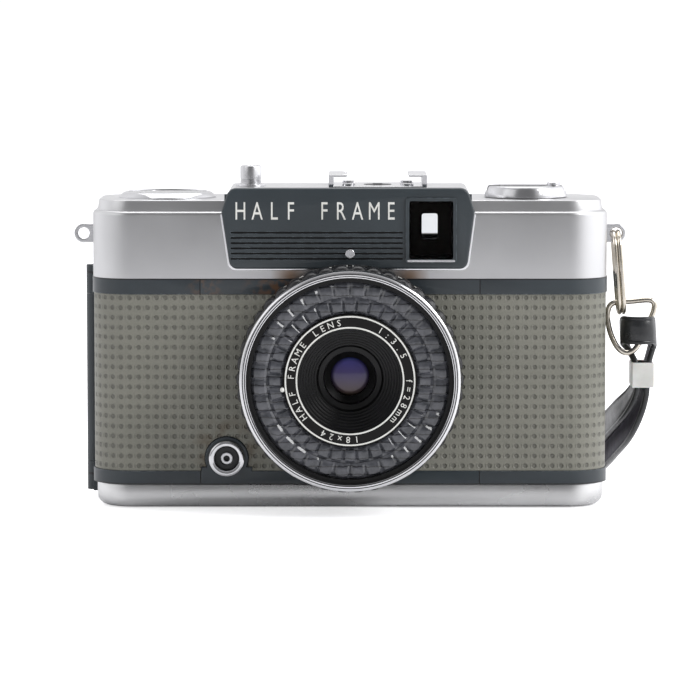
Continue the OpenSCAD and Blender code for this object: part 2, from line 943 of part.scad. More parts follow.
// ---------------------------------------------------------------- lens

module lens_barrel() {
  color(black) {
    difference() {
      union() {
        lens_ring(flange_r, 0, seat, flange_end);
        lens_ring(barrel_r, 0, seat, barrel_end);
      }
      lens_ring(18.3, 0, seat - over, barrel_end + over);
    }
  }
}

module front_rim() {
  back = barrel_end;
  color(silver)
    on_lens()
      rotate_extrude()
        polygon([[18.5, back], [rim_r - 0.3, back], [rim_r, back + 0.3], [rim_r, lens_front - 0.6],
                 [rim_r - 0.6, lens_front], [filter_r + 0.4, lens_front], [filter_r, lens_front - 0.4],
                 [filter_r, thread_foot], [cell_r[1], thread_foot], [cell_r[1], cell_at],
                 [18.5, cell_at]]);
}

module selenium_cell() {
  color(black)
    lens_ring(cell_r[1], cell_r[0], cell_at + 0.01, window_at);
}

module selenium_window() {
  color("white", 0.4)
    lens_ring(cell_r[1], cell_r[0], window_at + 0.01, window_end);
}

module lens_hood() {
  steps = 6;
  front = window_end;
  mouth_r = 10.9;
  foot_r = 4.7;
  rise = (front - hood_foot) / steps;
  run = (mouth_r - foot_r) / steps;
  wall = [for (i = [0:steps - 1], k = [0, 1])
    [foot_r + (i + 0.3 * k) * run, hood_foot + (i + k) * rise]];
  color(black)
    on_lens()
      rotate_extrude()
        polygon(concat([[hood_r - 4, hood_foot], [hood_r, hood_foot + 2], [hood_r, front]],
                       [for (i = [len(wall) - 1:-1:0]) wall[i]]));
}

module name_ring() {
  color(black)
    lens_ring(13.85, 10.9, window_end + 0.02, window_end + 0.5);
}

module lens_cells() {
  color(black) {
    lens_ring(6.2, 5.2, 6.0, 15.2);
    lens_ring(6.2, 5.2, 16.6, hood_foot);
  }
}

module front_element() {
  color("white", 0.4)
    on_lens()
      intersection() {
        translate([0, 0, 16.9])
          cylinder(r = 5.15, h = 3);
        translate([0, 0, 18.95 - 16])
          sphere(16);
      }
}

module rear_elements() {
  color("white", 0.4) {
    lens_ring(5.15, 0, 13.4, 14.8);
    on_lens()
      intersection() {
        translate([0, 0, 6.0])
          cylinder(r = 5.15, h = 2.2);
        translate([0, 0, 6.1 + 14])
          sphere(14);
      }
  }
}

module shutter_plates() {
  color(silver) {
    lens_ring(18.2, 6.3, 14.0, 15.2);
    lens_ring(18.2, 6.3, 16.6, 17.8);
  }
}

// A shutter blade: a disc over the light path on an arm to its pivot.
module shutter_blade(side, from) {
  pivot = [side * 9, -6];
  arm = norm(pivot);
  color(black)
    on_lens()
      translate([0, 0, from]) {
        cylinder(r = 4.9, h = 0.2);
        translate([pivot[0], pivot[1], 0]) {
          cylinder(r = 1.3, h = 0.2);
          rotate([0, 0, atan2(-pivot[1], -pivot[0])])
            translate([0, -1.1, 0])
              cube([arm, 2.2, 0.2]);
        }
      }
}

module shutter_blade_a() {
  shutter_blade(-1, 15.3);
}

module shutter_blade_b() {
  shutter_blade(1, 15.6);
}

// An aperture blade: a plate with a notch, which slides across the light path.
module aperture_blade(side, from) {
  color(black)
    on_lens()
      translate([0, 0, from])
        linear_extrude(0.2)
          polygon([for (p = [[-0.6, -5.2], [7.5, -5.2], [7.5, 5.2], [-0.6, 5.2], [-0.6, 0.4],
                             [0.3, 0], [-0.6, -0.4]]) [side * p[0], p[1]]]);
}

module aperture_blade_a() {
  aperture_blade(1, 15.95);
}

module aperture_blade_b() {
  aperture_blade(-1, 16.25);
}

module aperture_ring() {
  color(black)
    lens_ring(aperture_ring_r, barrel_r + 0.1, stop_ring[0], stop_ring[1]);
}

module film_speed_ring() {
  color(black)
    lens_ring(speed_ring_r, barrel_r + 0.1, speed_ring[0], speed_ring[1]);
}

module flash_socket() {
  face = half_d + strip_out;
  translate([socket_x, 0, socket_z])
    rotate([90, 0, 0]) {
      color(silver)
        difference() {
          union() {
            translate([0, 0, face])
              cylinder(r = 3.85, h = 1.3);
            translate([0, 0, face - 3])
              cylinder(r = 2.85, h = 3.2);
          }
          translate([0, 0, face - 2.6])
            cylinder(r = 2.2, h = 6);
        }
      color(silver)
        difference() {
          translate([0, 0, face - 2.6])
            cylinder(r = 1.25, h = 3.2);
          translate([0, 0, face - 1.6])
            cylinder(r = 0.5, h = 4);
        }
    }
}

module rewind_release() {
  color(silver) {
    rod(release_x, release_y, 2.5, 0.3, 2.0);
    rod(release_x, release_y, 0.9, 1.9, base_h - 1.0);
    rod(release_x, release_y, 3.4, 1.4, 2.0);
  }
}

// ---------------------------------------------------------------- strap

ring_wire = 0.5;
ring_tall = 18.4;         // split ring, end to end
ring_wide = 8.0;
ring_lean = 4.5;          // degrees that the ring leans away from the body

// A wire loop with straight sides, standing in the YZ plane.
module oval_loop(tall, wide, wire) {
  r = wide / 2 - wire;
  straight = tall - 2 * wire - 2 * r;
  for (s = [-1, 1]) {
    translate([0, s * r, -straight / 2])
      cylinder(r = wire, h = straight);
    translate([0, 0, s * straight / 2])
      rotate([0, 0, 90])
        rotate([90, 0, 0])
          rotate([0, 0, s > 0 ? 0 : 180])
            rotate_extrude(angle = 180)
              translate([r, 0])
                circle(wire);
  }
}

// Two turns of wire, side by side, through the lug's eye.
module split_ring() {
  color(silver)
    translate([lug_x - 0.1, 0, lug_z])
      rotate([0, -ring_lean, 0])
        translate([0, 0, -ring_tall / 2 + 0.8])
          for (s = [-1, 1])
            translate([s * (ring_wire - 0.02), 0, 0])
              oval_loop(ring_tall, ring_wide, ring_wire);
}

// The bends of the strap ring, a rounded triangle of wire with its narrow end down.
strap_ring_wire = 0.6;
strap_ring_bends = [[56.4, 0, 42.4], [60.4, 0, 42.8], [64.6, 0, 43.0], [65.2, -0.1, 41.0],
  [63.4, -0.5, 36.8], [61.4, -0.9, 32.9], [59.4, -1.0, 31.8], [57.4, -0.9, 33.0],
  [55.8, -0.4, 36.4], [55.3, 0, 40.2]];

module strap_ring() {
  color(silver)
    closed_wire(loop_points([for (p = strap_ring_bends) [p]], 0, 4), strap_ring_wire);
}

// The wrist strap as one closed band: round the strap ring, down through the keeper, and back
// beside the door's swing to a loop that stands on its edge. Each entry is a point of its
// middle line and the way that the band's width runs there.
strap_route = [
  [[62.0, -3.4, 36.8], [0, 0, 1]],
  [[59.6, -2.6, 36.8], [0, 0, 1]],
  [[58.6, -0.4, 36.6], [0, 0.3, 1]],
  [[58.9, 2.2, 35.0], [0, 0.8, 0.6]],
  [[60.0, 3.2, 32.4], [0, 1, 0.1]],
  [[61.3, 2.2, 29.6], [0, 1, 0]],
  [[61.9, 1.4, 27.1], [0, 1, 0]],
  [[61.6, 2.0, 24.0], [0, 0.9, 0.4]],
  [[60.2, 4.8, 20.8], [0, 0.7, 0.7]],
  [[58.2, 10.0, 17.6], [0, 0.4, 1]],
  [[56.6, 17.5, 14.4], [0, 0.3, 1]],
  [[55.0, 26.0, 11.0], [0, 0.3, 1]],
  [[53.6, 36.0, 7.0], [0, 0.2, 1]],
  [[51.0, 50.0, 3.8], [0, 0, 1]],
  [[46.0, 66.0, 3.1], [0, 0, 1]],
  [[42.0, 79.0, 3.1], [0, 0, 1]],
  [[42.5, 89.0, 3.1], [0, 0, 1]],
  [[49.0, 94.5, 3.1], [0, 0, 1]],
  [[56.0, 90.0, 3.1], [0, 0, 1]],
  [[58.5, 79.0, 3.1], [0, 0, 1]],
  [[58.0, 64.0, 3.1], [0, 0, 1]],
  [[57.0, 50.0, 3.3], [0, 0, 1]],
  [[56.8, 37.0, 4.6], [0, 0.2, 1]],
  [[57.6, 27.0, 7.2], [0, 0.3, 1]],
  [[58.8, 18.0, 10.4], [0, 0.3, 1]],
  [[60.6, 10.0, 14.2], [0, 0.4, 1]],
  [[62.6, 4.6, 19.2], [0, 0.7, 0.7]],
  [[63.7, 2.0, 23.6], [0, 0.9, 0.3]],
  [[63.7, 1.4, 27.1], [0, 1, 0]],
  [[64.2, 2.2, 29.8], [0, 1, 0]],
  [[65.0, 3.0, 32.6], [0, 1, 0.1]],
  [[65.3, 1.8, 35.2], [0, 0.8, 0.6]],
  [[64.9, -1.0, 36.6], [0, 0.3, 1]],
  [[64.0, -2.8, 36.8], [0, 0, 1]]];

// A point of a smooth curve between b and c, with a before them and d after.
function curve_point(a, b, c, d, t) =
  0.5 * (2 * b + (c - a) * t + (2 * a - 5 * b + 4 * c - d) * t * t
    + (3 * b - a - 3 * c + d) * t * t * t);

// A closed curve through one column of a route, with so many steps between its points.
function loop_points(route, column, steps) = let (n = len(route))
  [for (i = [0:n - 1], k = [0:steps - 1])
    curve_point(route[(i + n - 1) % n][column], route[i][column], route[(i + 1) % n][column],
                route[(i + 2) % n][column], k / steps)];

// Round wire along a closed line that lies roughly in the XZ plane.
module closed_wire(line, r) {
  sides = 10;
  n = len(line);
  points = [for (i = [0:n - 1]) let (
    along = line[(i + 1) % n] - line[(i + n - 1) % n],
    ahead = along / norm(along),
    lifted = [0, 1, 0] - ahead * ahead[1],
    up = lifted / norm(lifted),
    side = cross(ahead, up))
    for (k = [0:sides - 1]) let (w = 360 * k / sides)
      line[i] + r * (side * cos(w) + up * sin(w))];
  faces = [for (i = [0:n - 1], k = [0:sides - 1]) let (
    a = sides * i + k,
    b = sides * i + (k + 1) % sides,
    next = sides * ((i + 1) % n))
    each [[a, b, next + (k + 1) % sides], [a, next + (k + 1) % sides, next + k]]];
  polyhedron(points, faces);
}

module strap_band(route) {
  steps = 3;
  line = loop_points(route, 0, steps);
  width_way = loop_points(route, 1, steps);
  n = len(line);
  corners = [[-1, -1], [1, -1], [1, 1], [-1, 1]];
  points = [for (i = [0:n - 1]) let (
    along = line[(i + 1) % n] - line[(i + n - 1) % n],
    ahead = along / norm(along),
    lifted = width_way[i] - ahead * (width_way[i] * ahead),
    up = lifted / norm(lifted),
    side = cross(ahead, up))
    for (c = corners) line[i] + side * (c[0] * strap_t / 2) + up * (c[1] * strap_w / 2)];
  faces = [for (i = [0:n - 1], k = [0:3]) let (
    a = 4 * i + k,
    b = 4 * i + (k + 1) % 4,
    next = 4 * ((i + 1) % n))
    each [[a, b, next + (k + 1) % 4], [a, next + (k + 1) % 4, next + k]]];
  polyhedron(points, faces);
}

module wrist_strap() {
  color(black)
    strap_band(strap_route);
}

module strap_keeper() {
  color("white")
    translate([62.8, 1.4, 27.1])
      difference() {
        block([-2.45, -4.0, -2.7], [2.45, 4.0, 2.7]);
        block([-1.75, -3.3, -3], [1.75, 3.3, 3]);
      }
}

body_casting();
front_plate();
front_covering();
top_cover();
front_panel();
index_stud();
base_cover();
tripod_socket();
screws();
strap_lugs();
hinge_bracket();
hinge_pin();
light_seals();
hot_shoe();
shoe_contact();
counter_bezel();
counter_window();
button_collar();
button_spring();
finder_housing();
finder_lenses();
eyepiece_frame();
meter_movement();
lens_barrel();
front_rim();
selenium_cell();
selenium_window();
lens_hood();
name_ring();
front_element();
rear_elements();
lens_cells();
shutter_plates();
flash_socket();
shutter_button();
advance_wheel();
takeup_spool();
sprocket();
counter_dial();
rewind_sleeve();
rewind_knob();
rewind_crank();
crank_grip();
back_door();
door_covering();
pressure_plate();
door_latch();
rewind_release();
aperture_ring();
film_speed_ring();
shutter_blade_a();
shutter_blade_b();
aperture_blade_a();
aperture_blade_b();
meter_needle();
low_light_flag();
split_ring();
strap_ring();
strap_keeper();
wrist_strap();
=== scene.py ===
# %% [markdown]
# # Half frame camera
# A viewfinder camera of the 1960s with a light cell round its lens. The CAD model gives the
# places, sizes and motion of every part. This script gives each part that shows its finer
# shape and its finish. Lengths are drawn in millimetres and scaled once, when a piece is made.

# %% Load the frame
import json
import math

import bmesh
import bpy
from mathutils import Matrix, Vector

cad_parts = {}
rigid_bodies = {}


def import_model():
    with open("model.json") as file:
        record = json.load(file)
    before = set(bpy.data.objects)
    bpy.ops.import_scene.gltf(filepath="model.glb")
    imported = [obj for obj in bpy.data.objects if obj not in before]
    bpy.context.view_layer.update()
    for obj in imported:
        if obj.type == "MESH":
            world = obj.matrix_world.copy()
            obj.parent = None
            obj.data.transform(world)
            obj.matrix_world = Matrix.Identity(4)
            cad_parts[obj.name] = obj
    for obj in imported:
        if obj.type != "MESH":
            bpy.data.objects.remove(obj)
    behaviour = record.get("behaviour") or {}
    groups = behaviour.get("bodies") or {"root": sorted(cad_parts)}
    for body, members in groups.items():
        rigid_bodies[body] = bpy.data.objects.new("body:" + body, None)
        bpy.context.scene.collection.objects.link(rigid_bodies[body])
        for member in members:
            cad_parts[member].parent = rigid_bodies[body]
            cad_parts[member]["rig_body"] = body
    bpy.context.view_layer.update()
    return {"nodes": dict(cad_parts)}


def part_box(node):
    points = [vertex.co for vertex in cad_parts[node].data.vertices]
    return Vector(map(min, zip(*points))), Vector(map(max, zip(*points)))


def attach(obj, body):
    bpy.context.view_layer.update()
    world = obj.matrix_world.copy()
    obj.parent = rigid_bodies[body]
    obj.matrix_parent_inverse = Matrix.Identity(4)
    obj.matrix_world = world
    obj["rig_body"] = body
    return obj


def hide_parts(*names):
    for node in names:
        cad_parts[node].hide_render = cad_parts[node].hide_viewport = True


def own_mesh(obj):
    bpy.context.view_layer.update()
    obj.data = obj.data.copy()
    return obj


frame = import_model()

MM = 0.001
CAD_NODES = frame["nodes"]

# %% [markdown]
# ## Camera
# A long lens from a little above the top cover gives an almost flat front view, with just
# a sliver of the deck. The lens is long because the real view shows hardly any perspective.

# %% Camera
camera_data = bpy.data.cameras.new("camera")
camera_data.lens = 195.8
camera = bpy.data.objects.new("camera", camera_data)
camera.location = (0, -0.81425, 0.111)
looks_at = Vector((0, -0.01425, 0.0337))
camera.rotation_euler = (looks_at - camera.location).to_track_quat("-Z", "Y").to_euler()
bpy.context.scene.collection.objects.link(camera)
bpy.context.scene.camera = camera

# %% [markdown]
# ## Colours and nodes
# Colours are written as the hex values that a screen shows, so one function turns them into
# the linear values that a shader works with. The other functions each add one kind of node
# with its settings and links, which keeps a node tree readable from top to bottom.

# %% Colours and nodes
def linear(hex_code, alpha=1.0):
    """The linear colour of an sRGB hex code."""
    shares = [int(hex_code[i:i + 2], 16) / 255 for i in (1, 3, 5)]
    return (*[s / 12.92 if s <= 0.04045 else ((s + 0.055) / 1.055) ** 2.4 for s in shares], alpha)


def add(tree, kind, inputs=None, **settings):
    """Adds a node to a tree, with its settings, and its inputs as values or links."""
    node = tree.nodes.new(kind)
    for name, value in settings.items():
        setattr(node, name, value)
    for name, source in (inputs or {}).items():
        if isinstance(source, bpy.types.NodeSocket):
            tree.links.new(source, node.inputs[name])
        else:
            node.inputs[name].default_value = source
    return node


def calc(tree, operation, *values):
    return add(tree, "ShaderNodeMath", dict(enumerate(values)),
               operation=operation).outputs["Value"]


def vector(tree, operation, *values, out="Vector"):
    return add(tree, "ShaderNodeVectorMath", dict(enumerate(values)),
               operation=operation).outputs[out]


def scaled(tree, colour, share):
    return add(tree, "ShaderNodeVectorMath", {0: colour, "Scale": share},
               operation="SCALE").outputs["Vector"]


def remap(tree, value, start, end, low=0.0, high=1.0, **settings):
    """Turns the range from start to end into the range from low to high."""
    return add(tree, "ShaderNodeMapRange", {
        "Value": value, "From Min": start, "From Max": end, "To Min": low, "To Max": high},
        **settings).outputs["Result"]


def noise(tree, place, size_mm, detail):
    """Noise with patches of about a size in millimetres."""
    return add(tree, "ShaderNodeTexNoise", {
        "Vector": place, "Scale": 1 / (size_mm * MM), "Detail": detail}).outputs["Fac"]


def mix(tree, share, under, hex_code):
    """Lays a colour over another, by a share."""
    return add(tree, "ShaderNodeMix", {"Factor": share, "A": under, "B": linear(hex_code)},
               data_type="RGBA").outputs["Result"]


def ramp(tree, value, *stops):
    """A colour ramp with stops given as pairs of a place and a hex code."""
    node = add(tree, "ShaderNodeValToRGB", {"Fac": value})
    for place, _ in stops[2:]:
        node.color_ramp.elements.new(place)
    for element, (place, hex_code) in zip(node.color_ramp.elements, stops):
        element.position = place
        element.color = linear(hex_code)
    return node.outputs["Color"]


def new_finish(name, **values):
    """A new material, its tree, its shader with some values set, and its Object coordinates."""
    material = bpy.data.materials.new(name)
    material.use_nodes = True
    tree = material.node_tree
    shader = tree.nodes["Principled BSDF"]
    for socket, value in values.items():
        shader.inputs[socket.replace("_", " ")].default_value = value
    return material, tree, shader, add(tree, "ShaderNodeTexCoord").outputs["Object"]

# %% [markdown]
# ## Floor, background and lights
# The object stands on a wide pale sweep. The background is white to the eye, while the metal
# sees a room that is darker in front and brighter above and to the right, because a satin
# surface looks like metal only when what it reflects changes from one side to the other.

# %% Floor
def build_floor():
    bm = bmesh.new()
    bmesh.ops.create_circle(bm, cap_ends=True, radius=3.0, segments=64)
    bmesh.ops.translate(bm, verts=bm.verts, vec=(0, 0, -0.0001))
    mesh = bpy.data.meshes.new("floor")
    bm.to_mesh(mesh)
    bm.free()
    paper, tree, shader, _ = new_finish("pale_paper_sweep", Base_Color=linear("#F4F4F6"),
                                        Roughness=0.32, Emission_Color=linear("#FFFFFF"))
    seen = add(tree, "ShaderNodeLightPath").outputs["Is Camera Ray"]
    tree.links.new(calc(tree, "MULTIPLY", seen, 0.6), shader.inputs["Emission Strength"])
    mesh.materials.append(paper)
    floor = bpy.data.objects.new("floor", mesh)
    bpy.context.scene.collection.objects.link(floor)


build_floor()

# %% Background
def build_room(front=0.22, back=0.85, left=0.45, right=1.15):
    """White for the camera, and for the metal a room with a dim front and bright sides."""
    world = bpy.data.worlds.new("studio")
    world.use_nodes = True
    bpy.context.scene.world = world
    tree = world.node_tree
    direction = add(tree, "ShaderNodeTexCoord").outputs["Generated"]
    axes = add(tree, "ShaderNodeSeparateXYZ", {"Vector": direction})
    level = remap(tree, axes.outputs["Y"], -0.7, 0.5, front, back)
    for start, end, amount in [(0.35, 0.95, right), (-0.35, -0.95, left)]:
        side = remap(tree, axes.outputs["X"], start, end, high=amount)
        level = calc(tree, "ADD", level, side)
    seen = add(tree, "ShaderNodeLightPath").outputs["Is Camera Ray"]
    strength = add(tree, "ShaderNodeMix", {
        "Factor": seen, 2: level, 3: 1.08}, data_type="FLOAT")
    backdrop = tree.nodes["Background"]
    backdrop.inputs["Color"].default_value = linear("#FDFDFF")
    tree.links.new(strength.outputs[0], backdrop.inputs["Strength"])


build_room()

# %% Lights
def add_light(name, place, aim, size, watts):
    """A soft square light that looks at a point, all in metres."""
    data = bpy.data.lights.new(name, "AREA")
    data.size = size
    data.energy = watts
    light = bpy.data.objects.new(name, data)
    light.location = place
    direction = Vector(aim) - Vector(place)
    light.rotation_euler = direction.to_track_quat("-Z", "Y").to_euler()
    bpy.context.scene.collection.objects.link(light)


add_light("key_right", (0.9, -0.5, 0.8), (0, 0, 0.03), 0.6, 8)
add_light("fill_left", (-0.9, -0.7, 0.7), (0, 0, 0.03), 0.8, 1.2)
add_light("top_back", (0.0, 0.35, 1.0), (0, 0, 0.03), 0.9, 6)
bpy.context.scene.view_settings.view_transform = "Standard"

# %% [markdown]
# ## Making a piece
# Every piece is drawn as a bmesh in millimetres. One function cleans it, turns its faces
# outwards, scales it to metres and ties it to its body. The parts of a CAD node that already
# has the right shape are copied with their triangles merged, so that their edges can be
# softened: no real edge is perfectly sharp, and the thin highlight along it is what the eye
# takes for a real part.

# %% Helpers for pieces
def make_piece(name, bm, finishes, body, stands_for=(), soft=0.0, smooth_angle=32,
               segments=2):
    """Makes a finished object of a bmesh drawn in millimetres."""
    bmesh.ops.remove_doubles(bm, verts=bm.verts, dist=0.002)
    bmesh.ops.recalc_face_normals(bm, faces=bm.faces)
    bmesh.ops.scale(bm, verts=bm.verts, vec=(MM, MM, MM))
    mesh = bpy.data.meshes.new(name)
    bm.to_mesh(mesh)
    bm.free()
    for finish in finishes:
        mesh.materials.append(finish)
    mesh.shade_smooth()
    mesh.set_sharp_from_angle(angle=math.radians(smooth_angle))
    piece = bpy.data.objects.new(name, mesh)
    bpy.context.scene.collection.objects.link(piece)
    if soft:
        edge = piece.modifiers.new("softened edges", "BEVEL")
        edge.width = soft * MM
        edge.segments = segments
        edge.limit_method = "ANGLE"
        edge.angle_limit = math.radians(smooth_angle)
        edge.harden_normals = True
    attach(piece, body)
    if stands_for:
        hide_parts(*stands_for)
    print(name, "has", len(mesh.polygons), "faces")
    return piece


def pour(bm, part):
    """Adds a second bmesh to a first one."""
    mesh = bpy.data.meshes.new("temporary")
    part.to_mesh(mesh)
    part.free()
    bm.from_mesh(mesh)
    bpy.data.meshes.remove(mesh)


def copy_node(name):
    """The shape of a CAD node as one clean bmesh in millimetres."""
    bm = bmesh.new()
    bm.from_mesh(CAD_NODES[name].data)
    bmesh.ops.remove_doubles(bm, verts=bm.verts, dist=1e-6)
    bmesh.ops.dissolve_limit(bm, angle_limit=math.radians(0.5), verts=bm.verts, edges=bm.edges)
    bmesh.ops.scale(bm, verts=bm.verts, vec=(1 / MM, 1 / MM, 1 / MM))
    for face in bm.faces:
        face.material_index = 0
    return bm


def refine(name, finish, soft=0.12, segments=2):
    """A CAD node with softened edges and a finish."""
    return make_piece(name + "_finished", copy_node(name), [finish],
                      CAD_NODES[name]["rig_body"], [name], soft, segments=segments)


def box_mm(node):
    """The lowest and highest corners of a CAD node in millimetres."""
    low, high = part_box(node)
    return low / MM, high / MM

# %% Helpers for shapes
def block(low, high, rounding=0.0, segments=6, along=2):
    """A block between two corners, whose edges along one axis may be rounded."""
    bm = bmesh.new()
    size = Vector(high) - Vector(low)
    bmesh.ops.create_cube(bm, size=1.0)
    bmesh.ops.scale(bm, verts=bm.verts, vec=size)
    bmesh.ops.translate(bm, verts=bm.verts, vec=(Vector(low) + Vector(high)) / 2)
    if rounding:
        round_edges(bm, rounding, segments,
                    lambda e: abs((e.verts[0].co - e.verts[1].co)[along]) > size[along] / 2)
    return bm


def round_edges(bm, width, segments, wanted):
    """Rounds the edges that a test picks."""
    edges = [e for e in bm.edges if wanted(e)]
    bmesh.ops.bevel(bm, geom=edges, offset=width, segments=segments, profile=0.5,
                    affect="EDGES", material=-1)


def rod(centre, radius, low, high, axis="up", segments=48):
    """A round bar. Its ends are heights, or distances forward along the lens axis."""
    bm = bmesh.new()
    bmesh.ops.create_cone(bm, cap_ends=True, radius1=radius, radius2=radius,
                          depth=high - low, segments=segments)
    bmesh.ops.translate(bm, verts=bm.verts, vec=(0, 0, (low + high) / 2))
    if axis == "forward":
        bmesh.ops.rotate(bm, verts=bm.verts, matrix=Matrix.Rotation(math.pi / 2, 3, "X"))
        bmesh.ops.translate(bm, verts=bm.verts, vec=(centre[0], 0, centre[1]))
    else:
        bmesh.ops.translate(bm, verts=bm.verts, vec=(centre[0], centre[1], 0))
    return bm


def lathe(bm, profile, centre=(0.0, 0.0), axis="up", steps=96, closed=True):
    """Spins a profile of (radius, distance) pairs round an upright or a forward axis."""
    if axis == "forward":
        points = [Vector((centre[0] + r, -d, centre[1])) for r, d in profile]
        middle, spindle = Vector((centre[0], 0, centre[1])), Vector((0, 1, 0))
    else:
        points = [Vector((centre[0] + r, centre[1], d)) for r, d in profile]
        middle, spindle = Vector((centre[0], centre[1], 0)), Vector((0, 0, 1))
    verts = [bm.verts.new(p) for p in points]
    edges = [bm.edges.new(pair) for pair in zip(verts, verts[1:])]
    if closed:
        edges.append(bm.edges.new((verts[-1], verts[0])))
    bmesh.ops.spin(bm, geom=verts + edges, cent=middle, axis=spindle, angle=2 * math.pi,
                   steps=steps, use_merge=True, use_duplicate=False)
    bmesh.ops.remove_doubles(bm, verts=bm.verts, dist=0.0005)
    return bm


def combine(first, others, operation="DIFFERENCE"):
    """Takes other shapes out of a bmesh, or joins them to it."""
    holders = []
    for shape in [first, *others]:
        bmesh.ops.recalc_face_normals(shape, faces=shape.faces)
        mesh = bpy.data.meshes.new("temporary")
        shape.to_mesh(mesh)
        shape.free()
        holder = bpy.data.objects.new("temporary", mesh)
        bpy.context.scene.collection.objects.link(holder)
        holders.append(holder)
    for tool in holders[1:]:
        step = holders[0].modifiers.new("step", "BOOLEAN")
        step.object = tool
        step.operation = operation
        step.solver = "EXACT"
    bpy.context.view_layer.update()
    seen = holders[0].evaluated_get(bpy.context.evaluated_depsgraph_get())
    result = bmesh.new()
    result.from_mesh(seen.to_mesh())
    for holder in holders:
        mesh = holder.data
        bpy.data.objects.remove(holder)
        bpy.data.meshes.remove(mesh)
    bmesh.ops.dissolve_degenerate(result, edges=result.edges, dist=0.001)
    return result


def raise_face(bm, face, steps):
    """Steps a face inwards and outwards: each step is how far in and how far up."""
    for inwards, up in steps:
        bmesh.ops.inset_region(bm, faces=[face], thickness=inwards, depth=up,
                               use_even_offset=True)


def rounding_steps(radius, count):
    """The steps of a quarter circle that turns from a wall to a top."""
    ends = [(radius * (1 - math.cos(a)), radius * math.sin(a))
            for a in [math.pi / 2 * i / count for i in range(count + 1)]]
    return [(b[0] - a[0], b[1] - a[1]) for a, b in zip(ends, ends[1:])]


CAPITAL_SHARE = 0.69          # the height of a capital as a share of the font size


def letter(bm, text, height, place, turn=0.0, stretch=1.0, depth=0.04, facing="front",
           smoothness=3, lift=-0.5):
    """Adds lettering as thin raised shapes, centred on a place, or standing on it."""
    curve = bpy.data.curves.new("lettering", "FONT")
    curve.body = text
    curve.size = height / CAPITAL_SHARE
    curve.extrude = depth
    curve.align_x = "CENTER"
    curve.resolution_u = smoothness
    holder = bpy.data.objects.new("lettering", curve)
    bpy.context.scene.collection.objects.link(holder)
    bpy.context.view_layer.update()
    seen = holder.evaluated_get(bpy.context.evaluated_depsgraph_get())
    mesh = bpy.data.meshes.new_from_object(seen)
    to_front = Matrix.Rotation(math.pi / 2, 4, "X") if facing == "front" else Matrix()
    mesh.transform(Matrix.Translation(place) @ to_front @ Matrix.Rotation(turn, 4, "Z")
                   @ Matrix.Diagonal((stretch, 1, 1, 1))
                   @ Matrix.Translation((0, lift * height, 0)))
    bm.from_mesh(mesh)
    bpy.data.objects.remove(holder)
    bpy.data.curves.remove(curve)
    bpy.data.meshes.remove(mesh)

# %% [markdown]
# ## Finishes
# Almost every finish here is built the same way: a colour that drifts between two tones over
# some millimetres, a roughness that drifts too, a fine grain in the bump, and, on painted and
# plated parts, pale wear that shows along edges, which on the name panel is also a painted
# highlight. The wear is found with a Bevel node: near an edge its normal differs from the
# surface's own, so the difference marks the edge on any mesh.

# %% A layered finish
def layered_finish(name, dark, light, patch_mm, roughness, grain_mm=0.3, grain=0.1,
                   constants=None, pale_edge=None, stain_and_shade=None):
    """A finish of two drifting tones with grain, and if asked with pale edges, and with stains
    and painted shade.
    """
    material, tree, shader, place = new_finish(name, **(constants or {}))
    colour = ramp(tree, noise(tree, place, patch_mm, 4.0), (0.32, dark), (0.68, light))
    smudge = noise(tree, place, patch_mm / 2.2, 5.0)
    if pale_edge:
        pale_edge_colour, reach_mm = pale_edge
        rounded = add(tree, "ShaderNodeBevel", {"Radius": reach_mm * MM}, samples=4)
        own = add(tree, "ShaderNodeNewGeometry").outputs["Normal"]
        match = vector(tree, "DOT_PRODUCT", rounded.outputs["Normal"], own, out="Value")
        chipped = remap(tree, noise(tree, place, 1.3, 6.0), 0.44, 0.58)
        pale_edge_share = calc(tree, "MULTIPLY", remap(tree, match, 0.99, 0.86), chipped)
        colour = mix(tree, pale_edge_share, colour, pale_edge_colour)
    if stain_and_shade:
        colour = stain_and_shade(tree, place, colour)
    bump = add(tree, "ShaderNodeBump", {
        "Height": noise(tree, place, grain_mm, 2.0), "Strength": grain, "Distance": 0.05 * MM})
    tree.links.new(colour, shader.inputs["Base Color"])
    tree.links.new(remap(tree, smudge, 0.3, 0.7, *roughness), shader.inputs["Roughness"])
    tree.links.new(bump.outputs["Normal"], shader.inputs["Normal"])
    return material


def nearness(tree, place, spot_mm, far_mm, near_mm, most):
    """A share that grows from nothing at a far distance from a spot to the most when near."""
    away = vector(tree, "DISTANCE", place, Vector(spot_mm) * MM, out="Value")
    return remap(tree, away, far_mm * MM, near_mm * MM, high=most)


def patchy_stain(tree, place, colour, spot_mm, far_mm, near_mm, most, size_mm, edges, hex_code):
    """A stain that fades away from a spot and is broken up by noise."""
    patches = remap(tree, noise(tree, place, size_mm, 8.0), *edges)
    share = calc(tree, "MULTIPLY", nearness(tree, place, spot_mm, far_mm, near_mm, most), patches)
    return mix(tree, share, colour, hex_code)

# %% [markdown]
# ### Metals
# The covers are brass, blasted with fine grit and then chromium plated: the grit scatters
# the light, so they look like soft grey silk instead of a mirror. The rim, the socket and
# the rings are plated over polished metal, and the wire rings are nickel gone warm with age.

# %% Metals
METAL = {"Metallic": 1.0}


def tarnish_by_lens(tree, place, colour):
    """Brown tarnish on the cover, close round the top of the lens mount."""
    for side in (-12.5, 12.5):
        share = nearness(tree, place, (side, -15.4, 49.4), 4.5, 0.5, 0.85)
        colour = mix(tree, share, colour, "#8A6238")
    return colour


